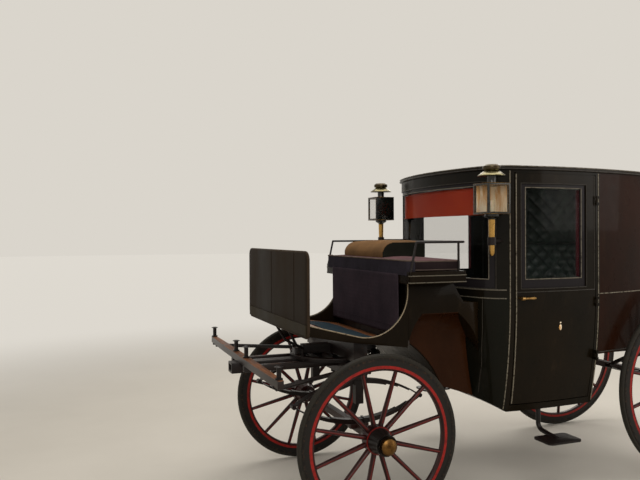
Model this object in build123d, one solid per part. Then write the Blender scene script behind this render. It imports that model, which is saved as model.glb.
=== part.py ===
from build123d import *
import os
from math import acos, atan2, cos, degrees, hypot, radians, sin, sqrt

os.makedirs("parts", exist_ok=True)

# A closed four-wheeled horse-drawn carriage with a bowed front.
# Lengths are in millimetres. X points forward, Y to the carriage's left, Z up.
# While the pieces are shaped, x is counted from the front axle and z from the ground;
# save() moves each finished piece so that the origin is under the middle of the length.
# A shape that is made for the left side is mirrored for the right one.

# Wheels and axles
WHEELBASE = 2408
FRONT_WHEEL_R = 500
REAR_WHEEL_R = 630
FRONT_TREAD_Y = 681       # middle of the tread, from the centre line
REAR_TREAD_Y = 673
TYRE_W = 42
TYRE_T = 36               # steel channel and rubber together
CHANNEL_LIP_H = 13
CHANNEL_LIP_T = 3
TREAD_CROWN = 9
FELLOE_W = 40
FELLOE_T = 60
FELLOE_CHAMFER = 9
DISH = 34                 # the nave's middle lies this much inboard of the rim
FRONT_SPOKES = 12
REAR_SPOKES = 14
SPOKE_ROOT = (15, 20)     # half width round the wheel, half depth along the axle
SPOKE_TIP = (11, 13)
SPOKE_TONGUE = 6          # how far a spoke enters the felloe
NAVE_R = 82
NAVE_STEP = 7             # down from the thick middle that the spokes enter
NAVE_BELLY = 33           # half length of that middle
NAVE_BACK_R = 60
NAVE_FRONT_R = 58
NAVE_IN = 92              # nave length inboard of its middle
NAVE_OUT = 130
NAVE_BAND_T = 4
NAVE_BAND_L = 14
AXLE_ARM_R = 18
ARM_CLEARANCE = 0.05
AXLE_BEAM = 44
SHOULDER_R = 34
SHOULDER_T = 16
END_PLAY = 0.5            # between the axle shoulder and the nave
CAP_COLLAR_R = 57
CAP_COLLAR_L = 16
CAP_COLLAR_SIDES = 8
CAP_R = 46
CAP_L = 50

# Coach body seen from above: five arcs a side, each tangent to the next
BODY_HALF_W = 670
SIDE_MIDDLE_X = -1250
SIDE_PLAN_R = 3200
BOW_APEX_X = -686
BOW_R = 1500
CORNER_R = 200
BACK_X = -2285
BACK_R = 2600
BACK_CORNER_R = 160
BACK_SPLIT = 40           # the quarter panels end this many degrees round the back corner
WALL = 28

# Coach body heights
BODY_BOTTOM_Z = 550
BELT_Z = 1287
CANT_Z = 2084             # underside of the roof
TURN_UNDER_R = 3500       # the sides curve in below the belt on this radius
FRONT_RISE_X = -940       # ahead of this the body's bottom edge climbs to the boot
FRONT_RISE_SLOPE = 0.58
REAR_FLOOR_Z = 880        # underside of the raised rear part
FLOOR_T = 24
FLOOR_UP = 14             # the foot floor's underside above the body's bottom edge
ROOF_OVERHANG = 12
ROOF_EDGE_T = 28
ROOF_CROWN = 50           # rise from the edge to the middle
ROOF_SECTIONS = (1, 0.82, 0.62, 0.4, 0.15)   # sizes of the dome's level sections
ROOF_T = 26
CEILING_GAP = 4
FIT = 0.3                 # gap between pieces that are fitted to each other
CUT = 50                  # how far a cutting shape reaches past what it cuts

# Doors and their windows
DOOR_FRONT_X = -957
DOOR_REAR_X = -1592
DOOR_BOTTOM_Z = 598
DOOR_TOP_DROP = 20        # below the roof
DOOR_TOP_Z = CANT_Z - DOOR_TOP_DROP
DOOR_GAP = 6
POST_W = 42
WINDOW_FRONT_X = -1038
WINDOW_REAR_X = -1470
WINDOW_SILL_RISE = 113    # above the belt
WINDOW_HEAD_DROP = 112    # below the roof
WINDOW_LOW_Z = BELT_Z + WINDOW_SILL_RISE
WINDOW_HIGH_Z = CANT_Z - WINDOW_HEAD_DROP
SASH_SIDE = 38            # the sash shows this wide beside the glass
SASH_SILL = 60
SASH_HEAD = 26
SASH_DEPTH = 8            # the sash lies this far inside the outer face
GLASS_T = 5
GLASS_DEPTH = 15          # from the outer face to the glass
HINGE_OUT = 9             # the hinge line stands this far outside the belt
HINGE_LOW_RISE = 282      # above the door's bottom edge
HINGE_MIDDLE_DROP = 51    # below the belt
HINGE_TOP_DROP = 164      # below the door's top edge
HINGE_ZS = (DOOR_BOTTOM_Z + HINGE_LOW_RISE, BELT_Z - HINGE_MIDDLE_DROP, DOOR_TOP_Z - HINGE_TOP_DROP)
HINGE_BARREL_R = 8
HINGE_PIN_R = 3.5
HINGE_DOOR_KNUCKLE = 24
HINGE_POST_KNUCKLE = 18
HINGE_LEAF = 26
HINGE_LEAF_T = 3.5
HINGE_FACE_GAP = 0.5      # between one half of a hinge and the wall of the other
HINGE_KNUCKLE_GAP = 0.5
HANDLE_IN = 30            # from the door's front edge
HANDLE_DROP = 8           # below the belt
HANDLE_OUT = 34
HANDLE_STEM_R = 7
HANDLE_HUB = 11
HANDLE_NECK_R = 6
HANDLE_LEVER_R = 9
HANDLE_LEVER_L = 95

# Front window, which follows the bow
FRONT_WINDOW_SIDE = 100   # from the body's widest place
FRONT_WINDOW_HALF = BODY_HALF_W - FRONT_WINDOW_SIDE
FRONT_SILL_RISE = 115     # above the belt
FRONT_HEAD_DROP = 100     # below the roof
FRONT_SILL_Z = BELT_Z + FRONT_SILL_RISE
FRONT_HEAD_Z = CANT_Z - FRONT_HEAD_DROP
BLIND_H = 184
BLIND_LOW_Z = FRONT_HEAD_Z - BLIND_H
BLIND_T = 4
BLIND_SIDE_GAP = 8

# Inside the cabin
SEAT_BOX_H = 130
SEAT_BOX_BACK = 10
INSIDE_CUSHION_T = 130
INSIDE_CUSHION_OUT = 30
SQUAB_T = 70
SQUAB_DROP = 324          # its top edge below the roof
SQUAB_HIGH_Z = CANT_Z - SQUAB_DROP
SQUAB_START = 0.5         # degrees behind the door post

# Boot, which carries the driver's seat, with a hollow in each side for the front wheel
FOOT_HALF_W = 560         # the boot and the foot well share one flush side
SEAT_UNDER_Z = 1390
RISER_X = -262
RISER_LEAN = 12
BOOT_SHOULDER = (-560, 1390)
BOOT_NECK = (-640, 1262)
BOOT_BACK_Z = 1240
BOOT_CORNER_X = -680
BOOT_TAIL_Y = 470
BOOT_TAIL_X = -800
BOOT_BACK_X = -900
BOOT_TAIL_LOW = (-860, 612)
ARCH_LOW = (-560, 715)
ARCH_HIGH_Z = 1000
ARCH_R = 600              # wheel arch, concentric with the front wheel
BOOT_CORE_HALF_W = 402    # between the hollows
HOLLOW_TOP_Z = 1200
HOLLOW_FLARE_Z = 980      # below this the hollow's wall is upright
HOLLOW_FRONT = ((-252, 1015), (-287, 1116), (-350, HOLLOW_TOP_Z))
HOLLOW_BACK = ((-598, HOLLOW_TOP_Z), (-690, 1107), (-790, 930))
LINING_T = 10
LINING_BACK_GAP = 8
LINING_ARCH_GAP = 6

# Foot well and dash
FOOT_SIDE_T = 24
FOOT_FLOOR_T = 20
FOOT_BACK_X = -249
FOOT_CURVE_R = 262
FOOT_CURVE_CORNER_Z = 997
FOOT_EDGE_FRONT_Z = 1168
FOOT_KNEE = (148, 1056)
FOOT_FRONT_LOW_Z = 1104
DASH_X = 410
DASH_T = 16
DASH_HALF_W = 630
DASH_LOW_Z = 1102
DASH_HIGH_Z = 1583
DASH_CORNER_R = 46
FOOT_IRON_R = 9
FOOT_IRON_TURN = 20       # degrees either side of straight ahead
FOOT_IRON_HIGH = (410, 1120)
FOOT_IRON_BEND = (330, 985)

# Driver's seat
SEAT_FRONT_X = -205
SEAT_BACK_X = -592
SEAT_HALF_W = BODY_HALF_W
SEAT_T = 72
SEAT_EDGE_R = 10
CUSHION_T = 66
CUSHION_SIDE = 24
CUSHION_FRONT = 2         # the cushion's front behind the seat board's
WEDGE_FRONT_X = -255
WEDGE_BACK_X = -580
WEDGE_NEAR_Y = 200
WEDGE_FAR_Y = -450
WEDGE_T = 106
WEDGE_FRONT_T = 40
WEDGE_TOP_X = -345
WEDGE_BULGE = 18          # of its front slope
RAIL_Z = 1636
RAIL_R = 7
RAIL_FRONT_X = -254
RAIL_BACK_X = -602
RAIL_IN = 8               # from the seat board's edge
RAIL_CORNER_R = 60
RAIL_POST_LEAN = 40
RAIL_BACK_POST_X = -540
FALL_T = 8
FALL_GAP = 20
FALL_HALF_W = 530
FALL_LOW_Z = 1075

# Springs
SPRING_Y = 380
FRONT_SPRING_HALF = 420
FRONT_SPRING_LOW_Z = 528
FRONT_SPRING_HIGH_Z = 800
LEAF_T = 7
LEAF_W = 46
LEAVES = 4
LEAF_STEP = 0.19          # each shorter leaf loses this share of the length
SPRING_EYE_R = 14
SPRING_BOLT_R = 6
SPRING_BOLT_OUT = 9
CLIP_X = 34
CLIP_L = 14
CLIP_T = 6
BUFFER_H = 130            # block that limits the front springs' travel
BUFFER_HALF_L = 26
REAR_SPRING_Y = 460
REAR_SPRING_HALF = 520
REAR_SPRING_LOW_Z = 656
REAR_SPRING_HIGH_Z = 852
SPRING_SEAT_HALF_L = 60
IRON_T = 28
IRON_W = 44

# Turning gear under the boot
BED_W = 92
BED_HALF_L = 420
BED_TOP_Z = 885
PLATE_R = 300
PLATE_BAND = 50
PLATE_T = 12
PERCH_BOLT_R = 16
PERCH_HEAD_R = 27
PERCH_HEAD_T = 14
PERCH_BOLT_DROP = 110
UPPER_BED_TOP_Z = 1028
TRANSOM_HALF_W = 30
TRANSOM_H = 60
TRANSOM_END_H = 40
TRANSOM_STEP_X = 235
TRANSOM_END_X = 290
PLATE_HUB_HALF = 60
FUTCHELL_Y = 150
FUTCHELL_W = 36
FUTCHELL_T = 40
FUTCHELL_BACK_X = -330
FUTCHELL_CHAMFER = 14
SPLINTER_X = 640
SPLINTER_HALF_L = 847
SPLINTER_W = 50
SPLINTER_T = 44
SPLINTER_TIP = 0.7        # width at the ends, as a share
STAY_R = 13
STAY_IN = 80              # from the splinter bar's end
STAY_BED_Y = 392
STAY_PAD_R = 24
STAY_PAD_T = 8
ROLLER_R = 13
ROLLER_H = 72
ROLLER_END = 36           # outer bolt from the splinter bar's end
ROLLER_INNER_Y = 130
ROLLER_FOOT_R = 21
ROLLER_FOOT_T = 8
ROLLER_HEAD_R = 25
ROLLER_HEAD_T = 10
POLE_TIP_X = 712
POLE_BOLT_X = 570         # behind the splinter bar
POLE_BOLT_R = 12
JAW_HALF_W = 48
JAW_T = 14
JAW_H = 66
JAW_BACK = 80             # ahead of the bed
JAW_CROSS_L = 30
JAW_CROSS_H = 34

# Lamps: axis, square case, and the turned pieces above and below it
LAMP_X = -712
LAMP_OUT = 86             # from the body's widest place
LAMP_Y = BODY_HALF_W + LAMP_OUT
LAMP_BOX = 155
LAMP_FRAME = 11
LAMP_LOW_Z = 1802
LAMP_H = 182
LAMP_TUBE_L = 249
LAMP_HOOD_RISE = 44       # above the case
LAMP_CROWN_RISE = 80
LAMP_TOP_RISE = 114
LAMP_HIGH_Z = LAMP_LOW_Z + LAMP_H
LAMP_TOP_Z = LAMP_HIGH_Z + LAMP_TOP_RISE
LAMP_TUBE_LOW_Z = LAMP_LOW_Z - LAMP_TUBE_L
LAMP_TUBE_R = 20
LAMP_TUBE_TIP_R = 16
LAMP_TIP_H = 14
LAMP_PAN_R = 43
LAMP_PAN_H = 28
LAMP_NECK_R = 26
LAMP_HOOD_Z = LAMP_HIGH_Z + LAMP_HOOD_RISE
LAMP_HOOD_R = 83
LAMP_HOOD_EDGE = 5
LAMP_CROWN_Z = LAMP_HIGH_Z + LAMP_CROWN_RISE
LAMP_CROWN_R = 40
LAMP_CROWN_TOP_R = 54
PANE_T = 4
PANE_IN = 4
LAMP_ARM_R = 9
LAMP_ARM_DROP = 162       # below the case
LAMP_ARM_Z = LAMP_LOW_Z - LAMP_ARM_DROP
LAMP_ARM_BEARING = 62     # where the arm meets the corner, in degrees
LAMP_SOCKET_T = 7
LAMP_SOCKET_H = 48

# Steps
STEP_X = -1190
STEP_OUT = 90             # from the body's widest place to the tread's middle
STEP_Y = BODY_HALF_W + STEP_OUT
STEP_Z = 395
STEP_L = 250
STEP_W = 170
STEP_T = 12
STEP_CORNER_R = 30
STEP_IRON_R = 15
STEP_IRON_BEND_R = 45
STEP_IRON_IN = 14

REAR_AXLE_X = -WHEELBASE
ORIGIN_X = (POLE_TIP_X + REAR_AXLE_X - REAR_WHEEL_R) / 2
TOUCH = 0.1               # gap between flat faces that bear on each other


def save(name, shape):
    """Write one piece, moved so that the origin is under the middle of the length."""
    moved = [Pos(-ORIGIN_X, 0, 0) * solid for solid in shape.solids()]
    export_step(moved[0] if len(moved) == 1 else Compound(children=moved), f"parts/{name}.step")


def both(shape):
    """The piece and its mirror image on the other side of the carriage."""
    return [shape, mirror(shape, Plane.XZ)]


def as_solids(pieces):
    """A compound of pieces that don't touch."""
    return Compound(children=[solid for piece in pieces for solid in piece.solids()])


def block(x0, x1, y0, y1, z0, z1):
    return Pos((x0 + x1) / 2, (y0 + y1) / 2, (z0 + z1) / 2) * Box(abs(x1 - x0), abs(y1 - y0), abs(z1 - z0))


def side_face(*edges):
    """A face in the side view from edges given by their (x, z) points: two for a line, three for an arc."""
    shapes = []
    for points in edges:
        placed = [(x, 0, z) for x, z in points]
        shapes.append(Line(*placed) if len(placed) == 2 else ThreePointArc(*placed))
    return make_face(shapes)


def side_prism(points, half_width):
    """An outline of (x, z) points in the carriage's side view, extruded both ways across it."""
    face = make_face(Polyline(*[(x, 0, z) for x, z in points], close=True))
    return extrude(face, half_width, dir=(0, 1, 0), both=True)


def rod(start, end, radius):
    """A round bar from one point to another."""
    line = Vector(*end) - Vector(*start)
    plane = Plane(origin=start, z_dir=line)
    return plane * Cylinder(radius, line.length, align=(Align.CENTER, Align.CENTER, Align.MIN))


def turned(*profile):
    """A turned piece from its (radius, height) points, about the upright axis."""
    return revolve(make_face(Polyline(*[(r, 0, h) for r, h in profile], close=True)), Axis.Z)


def touching_centre(centre_a, radius_a, centre_b, radius_b, radius):
    """Centre of the arc of a given radius that touches two larger arcs from inside."""
    reach_a = radius_a - radius
    reach_b = radius_b - radius
    dx = centre_b[0] - centre_a[0]
    dy = centre_b[1] - centre_a[1]
    apart = hypot(dx, dy)
    along = (reach_a ** 2 - reach_b ** 2 + apart ** 2) / (2 * apart)
    across = sqrt(reach_a ** 2 - along ** 2)
    middle_x = centre_a[0] + along * dx / apart
    middle_y = centre_a[1] + along * dy / apart
    ends = [(middle_x + s * across * dy / apart, middle_y - s * across * dx / apart) for s in (1, -1)]
    return max(ends, key=lambda point: point[1])


def bearing(from_point, to_point):
    return degrees(atan2(to_point[1] - from_point[1], to_point[0] - from_point[0]))


BOW_C = (BOW_APEX_X - BOW_R, 0)
SIDE_C = (SIDE_MIDDLE_X, BODY_HALF_W - SIDE_PLAN_R)
BACK_C = (BACK_X + BACK_R, 0)
CORNER_C = touching_centre(BOW_C, BOW_R, SIDE_C, SIDE_PLAN_R, CORNER_R)
BACK_CORNER_C = touching_centre(BACK_C, BACK_R, SIDE_C, SIDE_PLAN_R, BACK_CORNER_R)

# Left half of the body's plan, front to back: centre, radius, first and last bearing.
# Tangent arcs share their bearing where they meet, so one angle names a place on the wall.
PLAN = [
    (BOW_C, BOW_R, 0, bearing(BOW_C, CORNER_C)),
    (CORNER_C, CORNER_R, bearing(BOW_C, CORNER_C), bearing(SIDE_C, CORNER_C)),
    (SIDE_C, SIDE_PLAN_R, bearing(SIDE_C, CORNER_C), bearing(SIDE_C, BACK_CORNER_C)),
    (BACK_CORNER_C, BACK_CORNER_R, bearing(SIDE_C, BACK_CORNER_C), bearing(BACK_C, BACK_CORNER_C)),
    (BACK_C, BACK_R, bearing(BACK_C, BACK_CORNER_C), 180),
]


def side_place(x):
    """Bearing and y of the place on the body's left wall at x."""
    for centre, radius, start, end in PLAN:
        reach = (x - centre[0]) / radius
        if abs(reach) <= 1 and start <= degrees(acos(reach)) <= end:
            return degrees(acos(reach)), centre[1] + sqrt(radius ** 2 - (x - centre[0]) ** 2)
    raise ValueError(f"x = {x} is ahead of the bow or behind the back")


def side_angle(x):
    return side_place(x)[0]


def side_y(x):
    return side_place(x)[1]


def inset(z):
    """How far the turn-under brings the wall in at height z."""
    drop = max(0, BELT_Z - z)
    return TURN_UNDER_R - sqrt(TURN_UNDER_R ** 2 - drop ** 2)


def wall_face(radius, low, high, inner, outer):
    """Upright section of a wall between two offsets from the body's outer face."""
    edges = []
    ends = []
    for offset in (outer, inner):
        turn = TURN_UNDER_R + offset
        centre = radius - TURN_UNDER_R

        def at(z):
            drop = max(0, BELT_Z - z)
            return (centre + sqrt(turn ** 2 - drop ** 2), 0, z)

        if low < BELT_Z:
            top = min(high, BELT_Z)
            edges.append(ThreePointArc(at(low), at((low + top) / 2), at(top)))
        if high > BELT_Z:
            edges.append(Line(at(max(low, BELT_Z)), at(high)))
        ends.append((at(low), at(high)))
    edges.append(Line(ends[0][0], ends[1][0]))
    edges.append(Line(ends[0][1], ends[1][1]))
    return make_face(edges)


def band(first, last, low, high, inner=-WALL, outer=0):
    """Part of the body's wall between two bearings and two heights, on the left side."""
    result = None
    for centre, radius, start, end in PLAN:
        begin = max(first, start)
        stop = min(last, end)
        if stop - begin < 0.01:
            continue
        face = Rot(0, 0, begin) * wall_face(radius, low, high, inner, outer)
        piece = Pos(*centre, 0) * revolve(face, Axis.Z, revolution_arc=stop - begin)
        result = piece if result is None else result + piece
    return result


def front_band(last, low, high, inner=-WALL, outer=0):
    """The wall round the bow, from one side of the front to the other."""
    half = band(0, last, low, high, inner, outer)
    return half + mirror(half, Plane.XZ)


def plan_face(offset, z, size=1):
    """The body's outline from above, grown or shrunk by an offset, and to a size about its middle."""
    middle_x = (BOW_APEX_X + BACK_X) / 2
    edges = []
    for centre, radius, start, end in PLAN:
        points = []
        for angle in (start, (start + end) / 2, end):
            x = centre[0] + (radius + offset) * cos(radians(angle))
            y = centre[1] + (radius + offset) * sin(radians(angle))
            points.append((middle_x + size * (x - middle_x), size * y))
        for side in (1, -1):
            edges.append(ThreePointArc(*[(x, side * y, z) for x, y in points]))
    return make_face(edges)


FRONT_POST_X = DOOR_FRONT_X + POST_W
REAR_POST_X = DOOR_REAR_X - POST_W
PILLAR_ANGLE = side_angle(FRONT_POST_X)
REAR_POST_ANGLE = side_angle(REAR_POST_X)
QUARTER_END = 90 + BACK_SPLIT


def body_volume(offset, low, high):
    """What the body's outer face encloses near the bow, for cutting the boot to it."""
    face = Rot(0, 0, -60) * wall_face(BOW_R, low, high, -BOW_R / 2, offset)
    return Pos(*BOW_C, 0) * revolve(face, Axis.Z, revolution_arc=120)


def under_rise():
    """The wedge of space under the body's climbing front edge."""
    reach = BOW_APEX_X - FRONT_RISE_X + 4 * CUT
    low = BODY_BOTTOM_Z - 2 * CUT
    points = [(FRONT_RISE_X, BODY_BOTTOM_Z), (FRONT_RISE_X + reach, BODY_BOTTOM_Z + reach * FRONT_RISE_SLOPE),
              (FRONT_RISE_X + reach, low), (FRONT_RISE_X, low)]
    return side_prism(points, BODY_HALF_W + CUT)


def lower_front_panel():
    return front_band(PILLAR_ANGLE, BODY_BOTTOM_Z, BELT_Z) - under_rise()


def front_opening(side, sill, head):
    """The front window's opening, grown by a width at the sides, sill and head."""
    half = FRONT_WINDOW_HALF + side
    return block(BOW_C[0], BOW_APEX_X + CUT, -half, half, FRONT_SILL_Z - sill, FRONT_HEAD_Z + head)


def front_window_frame():
    """The bowed wall above the belt, rebated for the window's sash."""
    frame = front_band(PILLAR_ANGLE, BELT_Z, CANT_Z)
    rebate = front_band(PILLAR_ANGLE, BELT_Z, CANT_Z, -SASH_DEPTH, CUT)
    rebate &= front_opening(SASH_SIDE, SASH_SILL, SASH_HEAD)
    return frame - rebate - front_opening(0, 0, 0)


def front_glass():
    glass = front_band(PILLAR_ANGLE, BELT_Z, CANT_Z, -GLASS_DEPTH - GLASS_T, -GLASS_DEPTH)
    return glass & front_opening(-FIT, -FIT, -FIT)


def front_blind():
    """The cloth blind behind the upper part of the front glass."""
    depth = GLASS_DEPTH + GLASS_T + FIT
    blind = front_band(PILLAR_ANGLE, BLIND_LOW_Z, FRONT_HEAD_Z - FIT, -depth - BLIND_T, -depth)
    return blind & front_opening(-BLIND_SIDE_GAP, 0, 0)


def hinge_line():
    return DOOR_REAR_X - DOOR_GAP / 2, side_y(DOOR_REAR_X) + HINGE_OUT


def knuckle(z, length, facing):
    """One barrel of a door hinge and the leaf that carries it: facing 1 lies on the door, -1 on the post."""
    x, y = hinge_line()
    wall_y = y - HINGE_OUT - inset(z)
    low = z - length / 2
    high = z + length / 2
    web = block(x + facing * DOOR_GAP / 4, x + facing * HINGE_BARREL_R * 2, wall_y - WALL / 2, y, low, high)
    leaf = block(x, x + facing * HINGE_LEAF, wall_y - WALL / 2, wall_y + HINGE_LEAF_T, low, high)
    middle = side_angle(x)
    reach = side_angle(x - CUT) - middle
    other = band(min(middle, middle + facing * reach), max(middle, middle + facing * reach), low - CUT, high + CUT,
                 -WALL, HINGE_FACE_GAP)
    return Pos(x, y, z) * Cylinder(HINGE_BARREL_R, length) + ((web + leaf) - other)


def door_frame():
    """Posts, rail and sill round the left door opening, with the fixed halves of the hinges."""
    ring = band(PILLAR_ANGLE, REAR_POST_ANGLE, BODY_BOTTOM_Z, CANT_Z)
    hole = band(side_angle(DOOR_FRONT_X + DOOR_GAP), side_angle(DOOR_REAR_X - DOOR_GAP),
                DOOR_BOTTOM_Z - DOOR_GAP, DOOR_TOP_Z + DOOR_GAP, -WALL - CUT, CUT)
    ring = ring - hole - under_rise()
    x, y = hinge_line()
    offset = (HINGE_DOOR_KNUCKLE + HINGE_POST_KNUCKLE) / 2 + HINGE_KNUCKLE_GAP
    reach = offset + HINGE_POST_KNUCKLE / 2
    for z in HINGE_ZS:
        ring += knuckle(z + offset, HINGE_POST_KNUCKLE, -1)
        ring += knuckle(z - offset, HINGE_POST_KNUCKLE, -1)
        ring += rod((x, y, z - reach), (x, y, z + reach), HINGE_PIN_R)
    return ring


def door_opening(side, sill, head):
    """The door window's opening, grown by a width at the sides, sill and head."""
    return block(WINDOW_REAR_X - side, WINDOW_FRONT_X + side, BODY_HALF_W / 2, BODY_HALF_W + CUT,
                 WINDOW_LOW_Z - sill, WINDOW_HIGH_Z + head)


def door():
    """The left door, rebated for its sash, with its halves of the hinges."""
    first = side_angle(DOOR_FRONT_X)
    last = side_angle(DOOR_REAR_X)
    panel = band(first, last, DOOR_BOTTOM_Z, DOOR_TOP_Z)
    rebate = band(first, last, BELT_Z, DOOR_TOP_Z, -SASH_DEPTH, CUT) & door_opening(SASH_SIDE, SASH_SILL, SASH_HEAD)
    panel = panel - rebate - door_opening(0, 0, 0)
    x, y = hinge_line()
    for z in HINGE_ZS:
        panel += knuckle(z, HINGE_DOOR_KNUCKLE, 1)
        panel -= rod((x, y, z - HINGE_DOOR_KNUCKLE), (x, y, z + HINGE_DOOR_KNUCKLE), HINGE_PIN_R + ARM_CLEARANCE)
    return panel


def door_glass():
    glass = band(side_angle(DOOR_FRONT_X), side_angle(DOOR_REAR_X), BELT_Z, DOOR_TOP_Z,
                 -GLASS_DEPTH - GLASS_T, -GLASS_DEPTH)
    return glass & door_opening(-FIT, -FIT, -FIT)


def door_handle():
    """A turned lever handle near the door's front edge, just under the belt."""
    x = DOOR_FRONT_X - HANDLE_IN
    y = side_y(x)
    z = BELT_Z - HANDLE_DROP
    stem = rod((x, y - WALL / 2, z), (x, y + HANDLE_OUT, z), HANDLE_STEM_R)
    stem -= band(PILLAR_ANGLE, REAR_POST_ANGLE, z - CUT, z + CUT, -WALL, FIT)
    profile = [(0, -HANDLE_HUB), (HANDLE_HUB, 1 - HANDLE_HUB), (HANDLE_HUB, HANDLE_HUB), (HANDLE_NECK_R, HANDLE_HUB * 2),
               (HANDLE_LEVER_R, HANDLE_LEVER_L - HANDLE_HUB), (HANDLE_NECK_R, HANDLE_LEVER_L), (0, HANDLE_LEVER_L)]
    lever = Pos(x, y + HANDLE_OUT, z) * Rot(0, -90, 0) * turned(*profile)
    return stem + lever


def lower_quarter():
    return band(REAR_POST_ANGLE, QUARTER_END, REAR_FLOOR_Z, BELT_Z)


def upper_quarter():
    return band(REAR_POST_ANGLE, QUARTER_END, BELT_Z, CANT_Z)


def back_panel():
    half = band(QUARTER_END, 180, REAR_FLOOR_Z, CANT_Z)
    return half + mirror(half, Plane.XZ)


def roof_dome():
    """The crown of the roof: level sections of the body's outline that shrink as they rise."""
    edge_z = CANT_Z + ROOF_EDGE_T
    return loft([plan_face(ROOF_OVERHANG, edge_z + ROOF_CROWN * (1 - size ** 2), size) for size in ROOF_SECTIONS])


def roof():
    """A roof domed both ways, hollowed underneath, that overhangs the walls all round."""
    slab = extrude(plan_face(ROOF_OVERHANG, CANT_Z), ROOF_EDGE_T)
    dome = roof_dome()
    hollow = extrude(plan_face(-WALL - CEILING_GAP, CANT_Z), ROOF_EDGE_T - ROOF_T)
    hollow += Pos(0, 0, -ROOF_T) * dome & extrude(plan_face(-WALL - CEILING_GAP, CANT_Z), ROOF_EDGE_T + ROOF_CROWN)
    return slab + dome - hollow


def floor():
    """Foot floor with its climbing front, the riser, and the raised rear floor, as one bent board."""
    heel_x = REAR_POST_X
    low = BODY_BOTTOM_Z + FLOOR_UP
    front_low = low + (BOW_APEX_X - FRONT_RISE_X) * FRONT_RISE_SLOPE
    back_x = BACK_X - CUT
    points = [(BOW_APEX_X, front_low), (FRONT_RISE_X, low), (heel_x - FLOOR_T, low), (heel_x - FLOOR_T, REAR_FLOOR_Z),
              (back_x, REAR_FLOOR_Z), (back_x, REAR_FLOOR_Z + FLOOR_T), (heel_x, REAR_FLOOR_Z + FLOOR_T),
              (heel_x, low + FLOOR_T), (FRONT_RISE_X, low + FLOOR_T), (BOW_APEX_X, front_low + FLOOR_T)]
    board = side_prism(points, BODY_HALF_W)
    split = (BODY_BOTTOM_Z + REAR_FLOOR_Z) / 2 + CUT
    keep = extrude(plan_face(-WALL - FIT - inset(BODY_BOTTOM_Z), BODY_BOTTOM_Z), split - BODY_BOTTOM_Z)
    upper = extrude(plan_face(-WALL - FIT - inset(split), split), REAR_FLOOR_Z)
    return board & (keep + upper)


def inside_seat_box():
    low = REAR_FLOOR_Z + FLOOR_T
    keep = extrude(plan_face(-WALL - FIT - inset(low), low), SEAT_BOX_H)
    return keep & block(BACK_X, REAR_POST_X - SEAT_BOX_BACK, -BODY_HALF_W, BODY_HALF_W, low, low + SEAT_BOX_H)


def inside_cushion():
    low = REAR_FLOOR_Z + FLOOR_T + SEAT_BOX_H + FIT
    keep = extrude(plan_face(-WALL - CEILING_GAP - inset(low), low), INSIDE_CUSHION_T)
    front = REAR_POST_X + INSIDE_CUSHION_OUT
    return keep & block(BACK_X, front, -BODY_HALF_W, BODY_HALF_W, low, low + INSIDE_CUSHION_T)


def inside_squab():
    """The buttoned lining round the rear seat, one padded wall from pillar to pillar."""
    low = REAR_FLOOR_Z + FLOOR_T + SEAT_BOX_H + INSIDE_CUSHION_T + 2 * FIT
    outer = -WALL - FIT - inset(low)
    half = band(REAR_POST_ANGLE + SQUAB_START, 180, low, SQUAB_HIGH_Z, outer - SQUAB_T, outer)
    return half + mirror(half, Plane.XZ)


def arch_volume(gap):
    return Pos(0, 0, FRONT_WHEEL_R) * Rot(90, 0, 0) * Cylinder(ARCH_R + gap, 2 * BODY_HALF_W)


def beyond_hollow_wall(shift):
    """The space outside the left wheelhouse wall, moved outwards by a shift, along the whole boot."""
    wall_y = BOOT_CORE_HALF_W + shift
    low = BODY_BOTTOM_Z - CUT
    far_y = FOOT_HALF_W + 2 * CUT
    start = (0, wall_y, HOLLOW_FLARE_Z)
    end = (0, FOOT_HALF_W + shift, HOLLOW_TOP_Z)
    edges = [Line((0, wall_y, low), start), TangentArc(start, end, tangent=(0, 0, 1)), Line(end, (0, far_y, HOLLOW_TOP_Z)),
             Line((0, far_y, HOLLOW_TOP_Z), (0, far_y, low)), Line((0, far_y, low), (0, wall_y, low))]
    return Pos(BOOT_BACK_X - CUT, 0, 0) * extrude(make_face(edges), RISER_X - BOOT_BACK_X + 2 * CUT, dir=(1, 0, 0))


def hollow_outline():
    """The hollow in the side view: curved front edge, straight top, and a rear edge that runs into the body."""
    front_x = HOLLOW_FRONT[0][0]
    back_x = BOOT_BACK_X - CUT
    low = BODY_BOTTOM_Z - CUT
    return side_face(HOLLOW_FRONT, (HOLLOW_FRONT[2], HOLLOW_BACK[0]), HOLLOW_BACK,
                     (HOLLOW_BACK[2], (back_x, HOLLOW_BACK[2][1])), ((back_x, HOLLOW_BACK[2][1]), (back_x, low)),
                     ((back_x, low), (front_x, low)), ((front_x, low), HOLLOW_FRONT[0]))


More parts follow.
